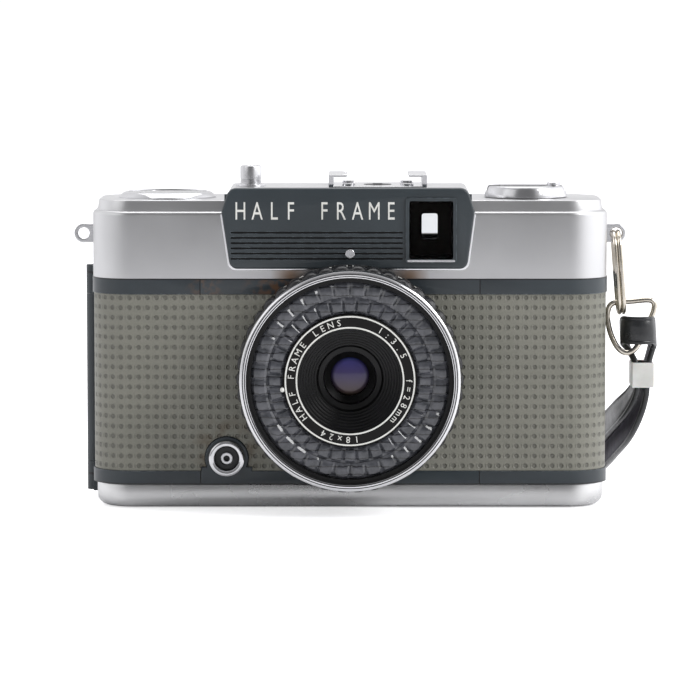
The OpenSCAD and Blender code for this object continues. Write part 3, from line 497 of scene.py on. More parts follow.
satin_chrome = layered_finish("satin_chrome", "#CACACB", "#D4D4D5", 30, (0.30, 0.36),
                              0.18, 0.35, METAL, stain_and_shade=tarnish_by_lens)
base_chrome = layered_finish("satin_chrome_base", "#D2D2D2", "#DCDCDC", 24, (0.24, 0.32),
                             0.2, 0.3, METAL)
bright_chrome = layered_finish("bright_chrome", "#D6D6D8", "#E6E6E8", 12, (0.07, 0.14),
                               0.4, 0.04, METAL)
brushed_chrome = layered_finish("brushed_chrome", "#C4C4C6", "#D4D4D6", 8, (0.18, 0.28),
                                0.25, 0.15, METAL)
nickel_wire = layered_finish("aged_nickel_wire", "#BFB7A8", "#D8D2C8", 3, (0.12, 0.25),
                             0.3, 0.08, METAL)
plain_steel = layered_finish("turned_steel", "#8E8F92", "#A3A4A8", 6, (0.25, 0.38),
                             0.2, 0.12, METAL)
brass_movement = layered_finish("stamped_brass", "#A88A55", "#C0A36B", 5, (0.3, 0.45),
                                0.2, 0.1, METAL)

# %% [markdown]
# ### Paint
# The strips, the door's edges and the name panel are stoved with a slate grey enamel. It is
# hard and a little glossy, and it chips first along its edges, where the primer shows pale; on
# the name panel this pale edge is also a painted highlight.
# Rust has crept from under the paint beside the lens mount, as damp collects there.

# %% Paint
COVER_SEAM_Z, BASE_SEAM_Z = 48.8, 5.1
PLATE_ENDS_X = (-31.6, 27.4)


def rust_and_seam_shade(tree, place, colour):
    """Rust in two patches by the lens mount, and painted shade: a dark line in the seams round
    the strips.
    """
    for spot, reach_mm, most in [((-14.5, -14.3, 46.5), 9.0, 0.75),
                                 ((-30.5, -14.3, 46.6), 4.5, 0.6)]:
        colour = patchy_stain(tree, place, colour, spot, reach_mm, 0.0, most, 1.6,
                              (0.45, 0.6), "#6B4A2C")
    # painted shade: each seam above and below the strips and at the ends of the lens plate is
    # drawn as a dark line
    axes = add(tree, "ShaderNodeSeparateXYZ", {"Vector": place})
    for axis, at_mm, half_mm in [("Z", COVER_SEAM_Z, 0.32), ("Z", BASE_SEAM_Z, 0.32),
                                 ("X", PLATE_ENDS_X[0], 0.16), ("X", PLATE_ENDS_X[1], 0.16)]:
        away = calc(tree, "ABSOLUTE", calc(tree, "SUBTRACT", axes.outputs[axis], at_mm * MM))
        share = remap(tree, away, half_mm * MM, half_mm * 0.6 * MM, high=0.9)
        colour = mix(tree, share, colour, "#08080A")
    return colour


slate_enamel = layered_finish("slate_stove_enamel", "#282F34", "#31393E", 14, (0.34, 0.44),
                              0.25, 0.12, {"Coat_Weight": 0.15}, ("#8C9698", 0.16),
                              rust_and_seam_shade)
# the pale edge colour here is partly wear and partly a painted highlight along the panel's edges
# and grooves
panel_enamel = layered_finish("slate_panel_enamel", "#2C3337", "#333B40", 18, (0.36, 0.46),
                              0.22, 0.12, {"Coat_Weight": 0.15}, ("#77838A", 0.14))
black_enamel = layered_finish("black_anodised", "#151517", "#1F1F22", 6, (0.28, 0.4),
                              0.2, 0.1, {}, ("#6E6E72", 0.12))
ribbed_black = layered_finish("matt_black_anodised", "#040404", "#080809", 4, (0.3, 0.42),
                              0.15, 0.1, {"Specular_IOR_Level": 0.3})
casting_black = layered_finish("black_painted_casting", "#1B1C1E", "#26282A", 10, (0.5, 0.65),
                               0.35, 0.4)
ring_face = layered_finish("engraved_black_face", "#0C0A0A", "#121010", 5, (0.35, 0.5),
                           0.2, 0.06, {"Specular_IOR_Level": 0.25})
white_fill = layered_finish("white_paint_fill", "#DCDCD6", "#EEEEE9", 3, (0.45, 0.6),
                            0.2, 0.1)
red_fill = layered_finish("red_paint_fill", "#A92A20", "#C03A2B", 3, (0.45, 0.6), 0.2, 0.1)

# %% [markdown]
# ### Plastics, foam and glass
# Moulded plastics have a fine, even surface and a low reflection. The cell's window is clear
# acrylic over the dark selenium plate, and is given the plate's tones, because light bent by
# 72 small lenses takes very long to render cleanly. The lens glass has a thin coating that
# looks violet, because it stops the reflection of green light; its reflection, violet above and
# straw-coloured below, is painted into the glass's colour.

# %% Plastics, foam and glass
black_plastic = layered_finish("moulded_black_phenolic", "#141416", "#1D1D20", 8, (0.3, 0.45),
                               0.3, 0.12)
finder_dark = layered_finish("dark_finder_moulding", "#0C0403", "#160806", 5, (0.5, 0.6),
                             0.3, 0.1, {"Specular_IOR_Level": 0.08})
white_plastic = layered_finish("white_polythene", "#D6D6D1", "#E6E6E2", 4, (0.35, 0.5), 0.4,
                               0.25, {"Subsurface_Weight": 0.15, "Subsurface_Scale": 0.001})
red_plastic = layered_finish("red_acetate_flag", "#B0201C", "#C62E24", 4, (0.25, 0.4), 0.3, 0.1)
foam_black = layered_finish("perished_black_foam", "#161616", "#242322", 3, (0.85, 0.98),
                            0.25, 0.9)
clear_glass = layered_finish("clear_glass", "#F4F6F6", "#FFFFFF", 10, (0.01, 0.05), 2.0, 0.01,
                             {"Transmission_Weight": 1.0, "IOR": 1.52})
bloomed_glass = layered_finish("bloomed_finder_glass", "#F0F2F4", "#FBFCFC", 10, (0.01, 0.04),
                               2.0, 0.01, {"Transmission_Weight": 1.0, "IOR": 1.1,
                                           "Specular_IOR_Level": 0.1})
amber_glass = layered_finish("amber_coated_glass", "#6A4A18", "#8A6526", 6, (0.02, 0.06), 2.0,
                             0.01, {"Transmission_Weight": 0.5, "IOR": 1.6})

# %% Coated front glass
LENS_AT = (0.0, 28.6)         # across and up
GLASS_R = 4.0


def coated_glass_reflection_finish():
    """Dark glass with a painted reflection in its coating: violet above and straw-coloured below,
    black at its rim.
    """
    material, tree, shader, place = new_finish("violet_coating_painted_reflection", Roughness=0.04, IOR=1.62,
                                               Specular_IOR_Level=0.3)
    axes = add(tree, "ShaderNodeSeparateXYZ", {"Vector": place})
    height = remap(tree, axes.outputs["Z"], (LENS_AT[1] - GLASS_R) * MM,
                   (LENS_AT[1] + GLASS_R) * MM)
    # painted reflection: the colour changes with height like a reflected horizon, violet-blue
    # above and straw below
    coating_and_reflection = ramp(tree, height, (0.0, "#6E5E52"), (0.92, "#4E4A96"), (0.42, "#A39078"),
                (0.47, "#505AA6"))
    flat = vector(tree, "MULTIPLY", place, (1, 0, 1))
    away = vector(tree, "DISTANCE", flat, (0, 0, LENS_AT[1] * MM), out="Value")
    rim = remap(tree, away, 3.1 * MM, 4.1 * MM, 1.0, 0.05)
    tree.links.new(scaled(tree, coating_and_reflection, rim), shader.inputs["Base Color"])
    return material


coated_glass_with_reflection = coated_glass_reflection_finish()

# %% Lensed acrylic
def lensed_acrylic_finish():
    """Clear acrylic over the dark plate: each lens shows the plate, with a streak across it."""
    streak_pitch_mm = 1.7
    material, tree, shader, place = new_finish("lensed_acrylic", Roughness=0.09, IOR=1.49,
                                               Coat_Weight=0.5, Coat_Roughness=0.05)
    drift = noise(tree, place, 1.6, 3.0)
    tone = ramp(tree, drift, (0.3, "#3C3E43"), (0.72, "#5A5B61"))
    axes = add(tree, "ShaderNodeSeparateXYZ", {"Vector": place})
    rise = calc(tree, "DIVIDE", axes.outputs["Z"], streak_pitch_mm * MM)
    part = calc(tree, "FRACT", calc(tree, "MULTIPLY_ADD", drift, 0.5, rise))
    away = calc(tree, "ABSOLUTE", calc(tree, "SUBTRACT", part, 0.5))
    streak = remap(tree, away, 0.04, 0.10, 0.3, 1.0)
    tree.links.new(scaled(tree, tone, streak), shader.inputs["Base Color"])
    return material


clear_acrylic = lensed_acrylic_finish()

# %% Selenium plate
def selenium_finish():
    """Dark grey selenium with the thin streaks of its metal grid."""
    material = layered_finish("selenium_plate", "#26272B", "#3A3B40", 5, (0.25, 0.4), 0.4, 0.1,
                              {"Metallic": 0.4})
    tree = material.node_tree
    place = add(tree, "ShaderNodeTexCoord").outputs["Object"]
    streaks = add(tree, "ShaderNodeTexWave", {
        "Vector": place, "Scale": 0.31 / (0.55 * MM), "Distortion": 1.2, "Detail": 2.0,
        "Detail Scale": 40.0}, bands_direction="Z").outputs["Fac"]
    base = tree.nodes["Principled BSDF"].inputs["Base Color"]
    plain = base.links[0].from_socket
    tree.links.new(mix(tree, remap(tree, streaks, 0.78, 0.95, high=0.7), plain, "#0F0F12"), base)
    return material


selenium_plate = selenium_finish()

# %% [markdown]
# ### Embossed leatherette
# The covering is vinyl cloth, pressed with rows of round dimples about a millimetre across.
# The piece carries a UV map in millimetres that runs round the body, so the rows stay even
# round the corners. A dimple is a smooth well, with a short shallow nick to its left, and the
# vinyl between has a fine grain. The wells and nicks are darker in colour, and damp has
# left a brown stain by the flash socket.

# %% Embossed leatherette
DIMPLE_PITCH = (1.9, 2.1)     # across and up, in millimetres
NICK_LEFT = 0.80


def leatherette_finish():
    material, tree, shader, place = new_finish("embossed_vinyl_leatherette", Roughness=0.47)
    flat = add(tree, "ShaderNodeUVMap", uv_map="round_the_body").outputs["UV"]
    per_mm = (1 / DIMPLE_PITCH[0], 1 / DIMPLE_PITCH[1], 0)
    part = vector(tree, "FRACTION", vector(tree, "MULTIPLY", flat, per_mm))
    centred = vector(tree, "SUBTRACT", part, (0.5, 0.5, 0))
    in_mm = vector(tree, "MULTIPLY", centred, (*DIMPLE_PITCH, 0))
    away = vector(tree, "LENGTH", in_mm, out="Value")
    well = remap(tree, away, 0.30, 0.62, interpolation_type="SMOOTHSTEP")
    thin = vector(tree, "MULTIPLY", vector(tree, "ADD", in_mm, (NICK_LEFT, 0, 0)), (5.5, 1.6, 0))
    nick = remap(tree, vector(tree, "LENGTH", thin, out="Value"), 0.45, 0.9,
                 interpolation_type="SMOOTHSTEP")
    relief = calc(tree, "MULTIPLY", well, remap(tree, nick, 0, 1, 0.6, 1.0))
    grain = noise(tree, place, 0.35, 6.0)
    tone = ramp(tree, noise(tree, place, 22, 3.0), (0.3, "#77776D"), (0.7, "#838278"))
    # the colour is darker in the wells and nicks, down to 0.58 of the tone
    shade = calc(tree, "MULTIPLY", remap(tree, relief, 0, 1, 0.58, 1.0),
                 remap(tree, grain, 0.35, 0.65, 0.93, 1.05))
    colour = patchy_stain(tree, place, scaled(tree, tone, shade), (-26.1, -14.3, 12.0), 8.5, 4.0,
                          0.7, 2.5, (0.38, 0.62), "#4E3B20")
    height = calc(tree, "ADD", relief, calc(tree, "MULTIPLY", grain, 0.22))
    bump = add(tree, "ShaderNodeBump", {
        "Height": height, "Strength": 1.0, "Distance": 0.2 * MM})
    tree.links.new(colour, shader.inputs["Base Color"])
    tree.links.new(bump.outputs["Normal"], shader.inputs["Normal"])
    return material


leatherette = leatherette_finish()

# %% Strap leather
strap_leather = layered_finish("black_strap_leather", "#141517", "#222427", 5, (0.26, 0.42),
                               0.45, 0.8, {"Coat_Weight": 0.2}, ("#4A4A50", 0.25))
strap_inside = layered_finish("strap_flesh_side", "#3C3A42", "#4A4852", 4, (0.6, 0.75),
                              0.3, 0.7)

# %% [markdown]
# ## Top cover
# One deep pressing with a rounded shoulder, a flat deck and a raised middle. It starts as a
# block with rounded corners, and its top face is stepped in and up to make the shoulder.
# Then it is hollowed and its windows are cut.

# %% Top cover
COVER_LOW, COVER_HIGH = box_mm("top_cover")
DECK_Z = 65.2
FINDER_X, FINDER_Z = 17.05, 59.15
FINDER_SIZE = (9.3, 12.3)
HINGE_AT, HINGE_R = (-55.4, 5.6), 1.75
BUTTON_X, COUNTER_X = -21.2, -39.0
KNOB_AT = (37.6, 0.3)
SPOOL_AT = (-36.5, 3.45)


def shell_block(inset, low, high, corner=8.65):
    """A block of the cover's plan, drawn in by an inset."""
    return block((COVER_LOW.x + inset, COVER_LOW.y + inset, low),
                 (COVER_HIGH.x - inset, COVER_HIGH.y - inset, high), corner - inset, 10)


def finder_edges(margin):
    """The left, right, low and high edges of the finder's window, grown by a margin."""
    half_w, half_h = FINDER_SIZE[0] / 2 + margin, FINDER_SIZE[1] / 2 + margin
    return FINDER_X - half_w, FINDER_X + half_w, FINDER_Z - half_h, FINDER_Z + half_h


def top_face(bm):
    return max(bm.faces, key=lambda f: f.calc_center_median().z * 100 + f.calc_area() * 0.001)


def build_top_cover():
    outer = shell_block(0.0, COVER_LOW.z, 62.1)
    raise_face(outer, top_face(outer), rounding_steps(0.9, 5) + [(0.12, 0.02), (0.25, 1.95)]
               + rounding_steps(0.25, 2))
    hump = block((-25.5, -12.9, DECK_Z - 0.9), (25.0, 12.9, COVER_HIGH.z - 0.55), 2.0, 5)
    raise_face(hump, top_face(hump), rounding_steps(0.55, 4))
    joined = combine(outer, [hump], "UNION")
    x0, x1, z0, z1 = finder_edges(0.5)
    cutters = [
        shell_block(1.15, COVER_LOW.z - 1, 62.0),
        shell_block(2.2, 61.5, DECK_Z - 1.0),
        block((-24.5, -11.9, 63.0), (24.0, 11.9, COVER_HIGH.z - 1.0)),
        block((x0, -20, z0), (x1, -10, z1)),
        block((FINDER_X - 4.2, 10, FINDER_Z - 3.6), (FINDER_X + 4.2, 20, FINDER_Z + 3.6)),
        block((SPOOL_AT[0] - 10, 10, 50.1), (SPOOL_AT[0] + 10, 20, 54.7)),
        rod((BUTTON_X, 0), 2.5, 60, 70),
        rod((COUNTER_X, 0), 8.6, 60, 66),
        rod(KNOB_AT, 4.0, 60, 66),
        rod(HINGE_AT, HINGE_R, 40, 50.6),
        block((-56, 2.1, 44), (-53.3, 5.7, 50.5)),
        rod(LENS_AT, 21.6, 13.0, 15.85, "forward", 96)]
    cover = combine(joined, cutters)
    return make_piece("top_cover_pressing", cover, [satin_chrome], "camera_body",
                      ["top_cover"], soft=0.1)


build_top_cover()

# %% [markdown]
# ## Base cover
# A shallow tray with a generous round along its lower edge. The same block is used, with its
# bottom loop bevelled, then the openings for the tripod socket, the release and the screws.

# %% Base cover
def build_base_cover():
    low, high = box_mm("base_cover")
    tray = block(low, high, 8.1, 10)
    round_edges(tray, 2.3, 6, lambda e: all(v.co.z < low.z + 0.01 for v in e.verts))
    round_edges(tray, 0.25, 2, lambda e: all(v.co.z > high.z - 0.01 for v in e.verts))
    screws = [(-44, 0), (44, 0), (22, -9)]
    cutters = [rod((0, 0), 5.55, -1, 2.6), rod((-14, -3), 2.7, -1, 2.4),
               rod(HINGE_AT, HINGE_R, 1.4, 6), block((-56, 2.1, 1.5), (-53.3, 5.7, 6))]
    cutters += [rod(place, 1.55, -1, 1.3) for place in screws]
    return make_piece("base_cover_pressing", combine(tray, cutters), [base_chrome],
                      "camera_body", ["base_cover"], soft=0.08)


build_base_cover()

# %% [markdown]
# ## Coverings
# The vinyl is glued on as a front piece each side and one piece round the door. The shapes
# come from the CAD. Each gets a UV map that measures along the surface: along the front, round
# the corner and along the side, so no dimple is stretched.

# %% Coverings
HALF_W, HALF_D, CORNER_R = 54.5, 14.25, 8.5


def along_body(x, y):
    """The distance round the body from the middle of its front or back, in millimetres."""
    side = 1 if x >= 0 else -1
    x, y = abs(x), abs(y)
    corner = Vector((HALF_W - CORNER_R, HALF_D - CORNER_R))
    if x <= corner.x:
        return side * x
    quarter = CORNER_R * math.pi / 2
    if y <= corner.y:
        return side * (corner.x + quarter + corner.y - y)
    return side * (corner.x + CORNER_R * math.atan2(x - corner.x, y - corner.y))


def build_covering(node, name):
    bm = copy_node(node)
    flat = bm.loops.layers.uv.new("round_the_body")
    for face in bm.faces:
        for corner in face.loops:
            at = corner.vert.co
            corner[flat].uv = (along_body(at.x, at.y), at.z - 8.0)
    return make_piece(name, bm, [leatherette], CAD_NODES[node]["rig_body"],
                      [node], soft=0.18)


build_covering("front_covering", "front_leatherette")
build_covering("door_covering", "door_leatherette")

# %% [markdown]
# ## Painted strips, door and hinge
# The casting shows only as two painted strips above and below the vinyl. The strips' long
# edges are broken by the tool that trimmed them, so they get a slightly wider softening.

# %% Painted strips, door and hinge
for painted in ("body_casting", "front_plate", "back_door"):
    refine(painted, slate_enamel, 0.2)
refine("hinge_bracket", slate_enamel, 0.12)
refine("door_latch", brushed_chrome, 0.15)

# %% [markdown]
# ## Name panel
# A diecast plate, widest at the cover's shoulder, with round corners, a bevelled edge, six
# grooves painted black as painted shade, and the finder's window. The outline is one face whose
# corners are rounded before it is extruded. The lettering only says what the camera is.

# %% Name panel
PANEL_FACE_Y, PANEL_BACK_Y = -16.4, -14.4
GROOVES, GROOVE_LOW, GROOVE_STEP, GROOVE_HIGH = 6, 52.95, 1.1, 0.4
PANEL_CORNERS = [(-25.4, 68.0), (-27.0, 63.0), (-25.2, 51.0), (24.6, 51.0), (26.2, 63.0),
                 (24.7, 68.0)]


def panel_blank(front_y, back_y, inset=0.0, edge=0.45):
    """The panel's outline as a solid between two depths, with a bevelled front edge."""
    bm = bmesh.new()
    rim = [bm.verts.new((x, back_y, z)) for x, z in PANEL_CORNERS]
    face = bm.faces.new(rim)
    tight = [v for v in rim if abs(v.co.z - 63.0) > 1]
    bmesh.ops.bevel(bm, geom=tight, offset=1.5, segments=5, profile=0.5,
                    affect="VERTICES", material=-1)
    face = bm.faces[:][0]
    if inset:
        ring = bmesh.ops.inset_region(bm, faces=[face], thickness=inset)["faces"]
        bmesh.ops.delete(bm, geom=ring, context="FACES")
    grown = bmesh.ops.extrude_face_region(bm, geom=[face])["geom"]
    bmesh.ops.translate(bm, vec=(0, front_y - back_y, 0),
                        verts=[g for g in grown if isinstance(g, bmesh.types.BMVert)])
    bmesh.ops.recalc_face_normals(bm, faces=bm.faces)
    round_edges(bm, edge, 3, lambda e: all(v.co.y < front_y + 0.01 for v in e.verts)
                and len(e.link_faces) == 2
                and e.calc_face_angle() > 1)
    return bm


def build_panel():
    blank = panel_blank(PANEL_FACE_Y, PANEL_BACK_Y)
    backing = block((-26.4, -14.9, 63.05), (25.6, -13.25, 66.6))
    x0, x1, z0, z1 = finder_edges(0)
    lip = block((x0 - 0.65, PANEL_FACE_Y - 0.5, z0 - 0.65),
                (x1 + 0.65, PANEL_FACE_Y + 0.3, z1 + 0.65), 0.5, 3, along=1)
    solid = combine(blank, [backing, lip], "UNION")
    lows = [GROOVE_LOW + i * GROOVE_STEP for i in range(GROOVES)]
    grooves = [block((-25.1, PANEL_FACE_Y - 1, z), (11.1, PANEL_FACE_Y + 0.45, z + GROOVE_HIGH))
               for z in lows]
    window = block((x0, -20, z0), (x1, 0, z1), 0.4, 3, along=1)
    bead_hole = rod((0, 54.2), 0.72, 10, 20, "forward", 24)
    ring_space = rod(LENS_AT, 23.4, 13, 17.5, "forward", 96)
    panel = combine(solid, [window, bead_hole, ring_space, *grooves])
    # painted shade: the walls and floors of the six grooves take the black finish
    for face in panel.faces:
        at = face.calc_center_median()
        in_groove = PANEL_FACE_Y + 0.03 < at.y < PANEL_FACE_Y + 0.5 and -25.2 < at.x < 11.2
        face.material_index = 1 if in_groove and 52.9 < at.z < 58.9 else 0
    return make_piece("name_panel", panel, [panel_enamel, ribbed_black], "camera_body",
                      ["front_panel"], soft=0.1)


def build_panel_surround():
    """The cover's polished lip, which shows as a thin line round the lower part of the panel."""
    lip = panel_blank(-15.35, -14.5, edge=0.12)
    bmesh.ops.translate(lip, verts=lip.verts, vec=(0, 0, -59.5))
    bmesh.ops.scale(lip, verts=lip.verts, vec=(1.014, 1, 1.045))
    bmesh.ops.translate(lip, verts=lip.verts, vec=(0, 0, 59.5))
    upper = block((-30, -20, 62.4), (30, 0, 75))
    ring_space = rod(LENS_AT, 23.5, 13, 17.5, "forward", 96)
    inside = panel_blank(-17, -13, inset=0.05)
    make_piece("panel_surround", combine(lip, [upper, ring_space, inside]), [bright_chrome],
               "camera_body", smooth_angle=40)
    x0, x1, z0, _ = finder_edges(0)
    # painted highlight: a real ledge under the finder window, given bright chrome to stand for
    # the light caught by the enamelled frame's lower face
    sill_highlight = block((x0 - 0.35, PANEL_FACE_Y - 0.56, z0 - 0.5),
                 (x1 + 0.35, PANEL_FACE_Y - 0.3, z0 - 0.08), 0.12, 3, along=1)
    make_piece("finder_sill_highlight", sill_highlight, [brushed_chrome], "camera_body")


def build_panel_lettering():
    bm = bmesh.new()
    words = "HALF FRAME"
    left, right = -23.0, 8.6
    step = (right - left) / (len(words) - 1)
    for index, character in enumerate(words):
        if character != " ":
            place = (left + index * step, PANEL_FACE_Y - 0.01, 63.25)
            letter(bm, character, 3.7, place, stretch=0.66)
    return make_piece("panel_lettering", bm, [white_fill], "camera_body")


build_panel()
build_panel_surround()
build_panel_lettering()
refine("index_stud", brushed_chrome, 0.3, 4)

# %% [markdown]
# ## Front rim
# The bright ring that holds the window in. It is turned on a lathe, so here it is a profile
# spun round the lens axis: a flat front with two fine grooves, and a thread inside for
# filters. The grooves and the inner wall with the thread take a black finish as painted shade.

# %% Front rim
RIM_LOW, RIM_HIGH = box_mm("front_rim")
RIM_R = RIM_HIGH.x
RIM_FRONT, RIM_BACK = -RIM_LOW.y, -RIM_HIGH.y
WINDOW_BACK, WINDOW_FRONT = 27.25, 28.15


def build_rim():
    profile = [(18.5, RIM_BACK), (RIM_R - 0.25, RIM_BACK), (RIM_R, RIM_BACK + 0.25),
               (RIM_R, RIM_FRONT - 0.75), (RIM_R - 0.12, RIM_FRONT - 0.35),
               (RIM_R - 0.4, RIM_FRONT - 0.08), (RIM_R - 0.6, RIM_FRONT)]
    for groove in (22.3, 21.85):
        profile += [(groove + 0.1, RIM_FRONT), (groove + 0.08, RIM_FRONT - 0.22),
                    (groove - 0.08, RIM_FRONT - 0.22), (groove - 0.1, RIM_FRONT)]
    profile += [(21.6, RIM_FRONT - 0.02), (21.45, RIM_FRONT - 0.25)]
    for turn in range(3):
        low = RIM_FRONT - 0.45 - turn * 0.3
        profile += [(21.4, low), (21.55, low - 0.15)]
    profile += [(21.4, 28.95), (20.65, 28.9), (20.6, 28.7), (20.6, 26.85), (18.5, 26.85)]
    bm = lathe(bmesh.new(), profile, LENS_AT, "forward", steps=128)
    # painted shade: the grooves and the inner wall with its thread take the black finish
    for face in bm.faces:
        middle = face.calc_center_median()
        radius = math.hypot(middle.x - LENS_AT[0], middle.z - LENS_AT[1])
        in_groove = radius < 22.42 and -RIM_FRONT + 0.02 < middle.y
        face.material_index = 1 if in_groove else 0
    return make_piece("front_rim_turned", bm, [bright_chrome, ribbed_black], "camera_body",
                      ["front_rim"], smooth_angle=25)


build_rim()

# %% [markdown]
# ## Knurled rings
# The aperture ring and the film speed ring behind it are black anodised, with scallops for
# the fingers. A ring is spun with many steps, and then the points of its outer wall are drawn
# in towards the axis between the scallops.

# %% Knurled rings
def build_knurled_ring(node, name, scallops, depth, flank=0.55):
    low, high = box_mm(node)
    outer, back, front = high.x, -high.y, -low.y
    profile = [(20.15, back), (outer - flank, back), (outer, back + flank),
               (outer, front - flank), (outer - flank, front), (20.15, front)]
    bm = lathe(bmesh.new(), profile, LENS_AT, "forward", steps=scallops * 6)
    for vert in bm.verts:
        across, up = vert.co.x - LENS_AT[0], vert.co.z - LENS_AT[1]
        radius = math.hypot(across, up)
        if radius > outer - flank - 0.01:
            wave = abs(math.cos(math.atan2(up, across) * scallops / 2))
            shrink = 1 - depth * (1 - wave) ** 1.5 / radius
            vert.co.x = LENS_AT[0] + across * shrink
            vert.co.z = LENS_AT[1] + up * shrink
    return make_piece(name, bm, [black_enamel], CAD_NODES[node]["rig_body"],
                      [node], smooth_angle=50)


build_knurled_ring("aperture_ring", "aperture_ring_knurled", 42, 0.7)
build_knurled_ring("film_speed_ring", "film_speed_ring_knurled", 72, 0.35, 0.3)


def build_scale(name, body, words, forward, radius, height):
    """Numbers on the top of a ring, which face upwards for the person who sets it."""
    bm = bmesh.new()
    for index, word in enumerate(words):
        angle = (index - (len(words) - 1) / 2) * 0.21
        place = (0, -forward - height / 2, 0)
        part = bmesh.new()
        letter(part, word, height, place, facing="up", depth=0.02)
        bmesh.ops.translate(part, verts=part.verts, vec=(0, 0, radius))
        bmesh.ops.rotate(part, verts=part.verts, matrix=Matrix.Rotation(angle, 3, "Y"))
        bmesh.ops.translate(part, verts=part.verts, vec=(0, 0, LENS_AT[1]))
        pour(bm, part)
    return make_piece(name, bm, [white_fill], body)


build_scale("aperture_numbers", "aperture_ring", ["A", "22", "16", "11", "8", "5.6", "4"],
            21.6, 23.5, 1.7)

# %% [markdown]
# ## Window over the light cell
# A ring of clear acrylic, moulded as two rows of 36 bulging lenses that gather light for the
# selenium plate. One cell is a small grid, bent to the ring and bulged, and it is spun round
# the axis as copies. The rows are half a cell apart, and each is a closed ring of its own.

# %% Window over the light cell
CELLS = 36
CELL_ROWS = [(14.0, 17.26), (17.34, 20.58)]


def round_lens(radius, angle):
    """How far across and up a point is that lies at an angle from the top of the lens."""
    return LENS_AT[0] + radius * math.sin(angle), LENS_AT[1] + radius * math.cos(angle)


def bulge(bm, inner, outer, turn, base, height, scalloped):
    """One cell of the window: a grid bent between two radii, with a bulge in its middle."""
    made = bmesh.ops.create_grid(bm, x_segments=4, y_segments=4, size=0.5)["verts"]
    for vert in made:
        # the grid's inner lines move out, so its outer squares become four steep flanks
        u, v = (math.copysign(0.34, k) if 0.2 < abs(k) < 0.3 else k for k in vert.co.xy)
        across, out = u, v + 0.5
        on_edge = max(abs(u), abs(v)) > 0.49
        at_corner = min(abs(u), abs(v)) > 0.3
        dome = 0.0 if on_edge else 0.5 if at_corner else 1 - 1.2 * (u * u + v * v)
        rounded = 0.32 * abs(2 * across) ** 2.5 * max(0.0, 2 * out - 1) if scalloped else 0.0
        radius = inner + out * (outer - inner) - rounded
        angle = (across + turn) * 2 * math.pi / CELLS
        across, up = round_lens(radius, angle)
        vert.co = (across, -(base + height * dome), up)


def build_window_row(row):
    """One closed ring of cells, from their bulging fronts to the flat back."""
    height = 0.55
    bm = bmesh.new()
    inner, outer = CELL_ROWS[row]
    bulge(bm, inner, outer, 0.5 * row, WINDOW_FRONT - height, height, scalloped=row == 1)
    bmesh.ops.spin(bm, geom=bm.verts[:] + bm.edges[:] + bm.faces[:], use_duplicate=True,
                   cent=(LENS_AT[0], 0, LENS_AT[1]), axis=(0, 1, 0), angle=2 * math.pi,
                   steps=CELLS)
    bmesh.ops.remove_doubles(bm, verts=bm.verts, dist=0.02)
    rims = [e for e in bm.edges if len(e.link_faces) == 1]
    grown = bmesh.ops.extrude_edge_only(bm, edges=rims)["geom"]
    for vert in (g for g in grown if isinstance(g, bmesh.types.BMVert)):
        vert.co.y = -(WINDOW_BACK + 0.02)
    bmesh.ops.bridge_loops(bm, edges=[e for e in bm.edges if len(e.link_faces) == 1])
    bmesh.ops.recalc_face_normals(bm, faces=bm.faces)
    return bm


def build_window():
    bm = build_window_row(0)
    pour(bm, build_window_row(1))
    return make_piece("cell_window_moulded", bm, [clear_acrylic], "camera_body",
                      ["selenium_window"], smooth_angle=20)


build_window()

# %% [markdown]
# ## Name ring, lettering and index bead
# A flat black ring between two thin white circles, with engraved and filled letters that read
# round the lens. Each letter is made flat, turned to its place round the axis and joined.

# %% Name ring
def build_name_ring():
    front = WINDOW_FRONT + 0.46
    profile = [(13.9, WINDOW_FRONT + 0.02), (13.9, front - 0.12), (13.78, front),
               (11.0, front), (10.88, front - 0.12), (10.88, WINDOW_FRONT + 0.02)]
    bm = lathe(bmesh.new(), profile, LENS_AT, "forward", steps=128)
    make_piece("name_ring_face", bm, [ring_face], "camera_body",
               ["name_ring"])
    lines = bmesh.new()
    for radius in (13.42, 11.12):
        lathe(lines, [(radius + 0.16, front - 0.05), (radius + 0.16, front + 0.02),
                      (radius - 0.16, front + 0.02), (radius - 0.16, front - 0.05)],
              LENS_AT, "forward", steps=128)
    words = "HALF FRAME LENS    1:3.5  f=28mm    18x24  "
    radius, height = 11.65, 1.3
    for index, character in enumerate(words):
        if character == " ":
            continue
        angle = math.radians(-128 + 360 * index / len(words))
        across, up = round_lens(radius, angle)
        letter(lines, character, height, (across, -front, up), turn=-angle, depth=0.03,
               smoothness=2, lift=0)
    bead_angle = math.radians(-97.5)
    bead_at = round_lens(14.15, bead_angle)
    lathe(lines, [(0.0, front - 0.5), (0.48, front - 0.5), (0.48, front - 0.05),
                  (0.3, front + 0.08), (0.0, front + 0.12)], bead_at, "forward", steps=16)
    return make_piece("name_ring_lettering", lines, [white_fill], "camera_body")


build_name_ring()

# %% [markdown]
# ## Ribbed recess and glass
# The walls between the name ring and the glass are stepped and matt black, so that no stray
# light reaches the film. The front element is a shallow dome with a violet coating, whose
# reflection is painted into its colour, and a second surface deeper inside shows amber.

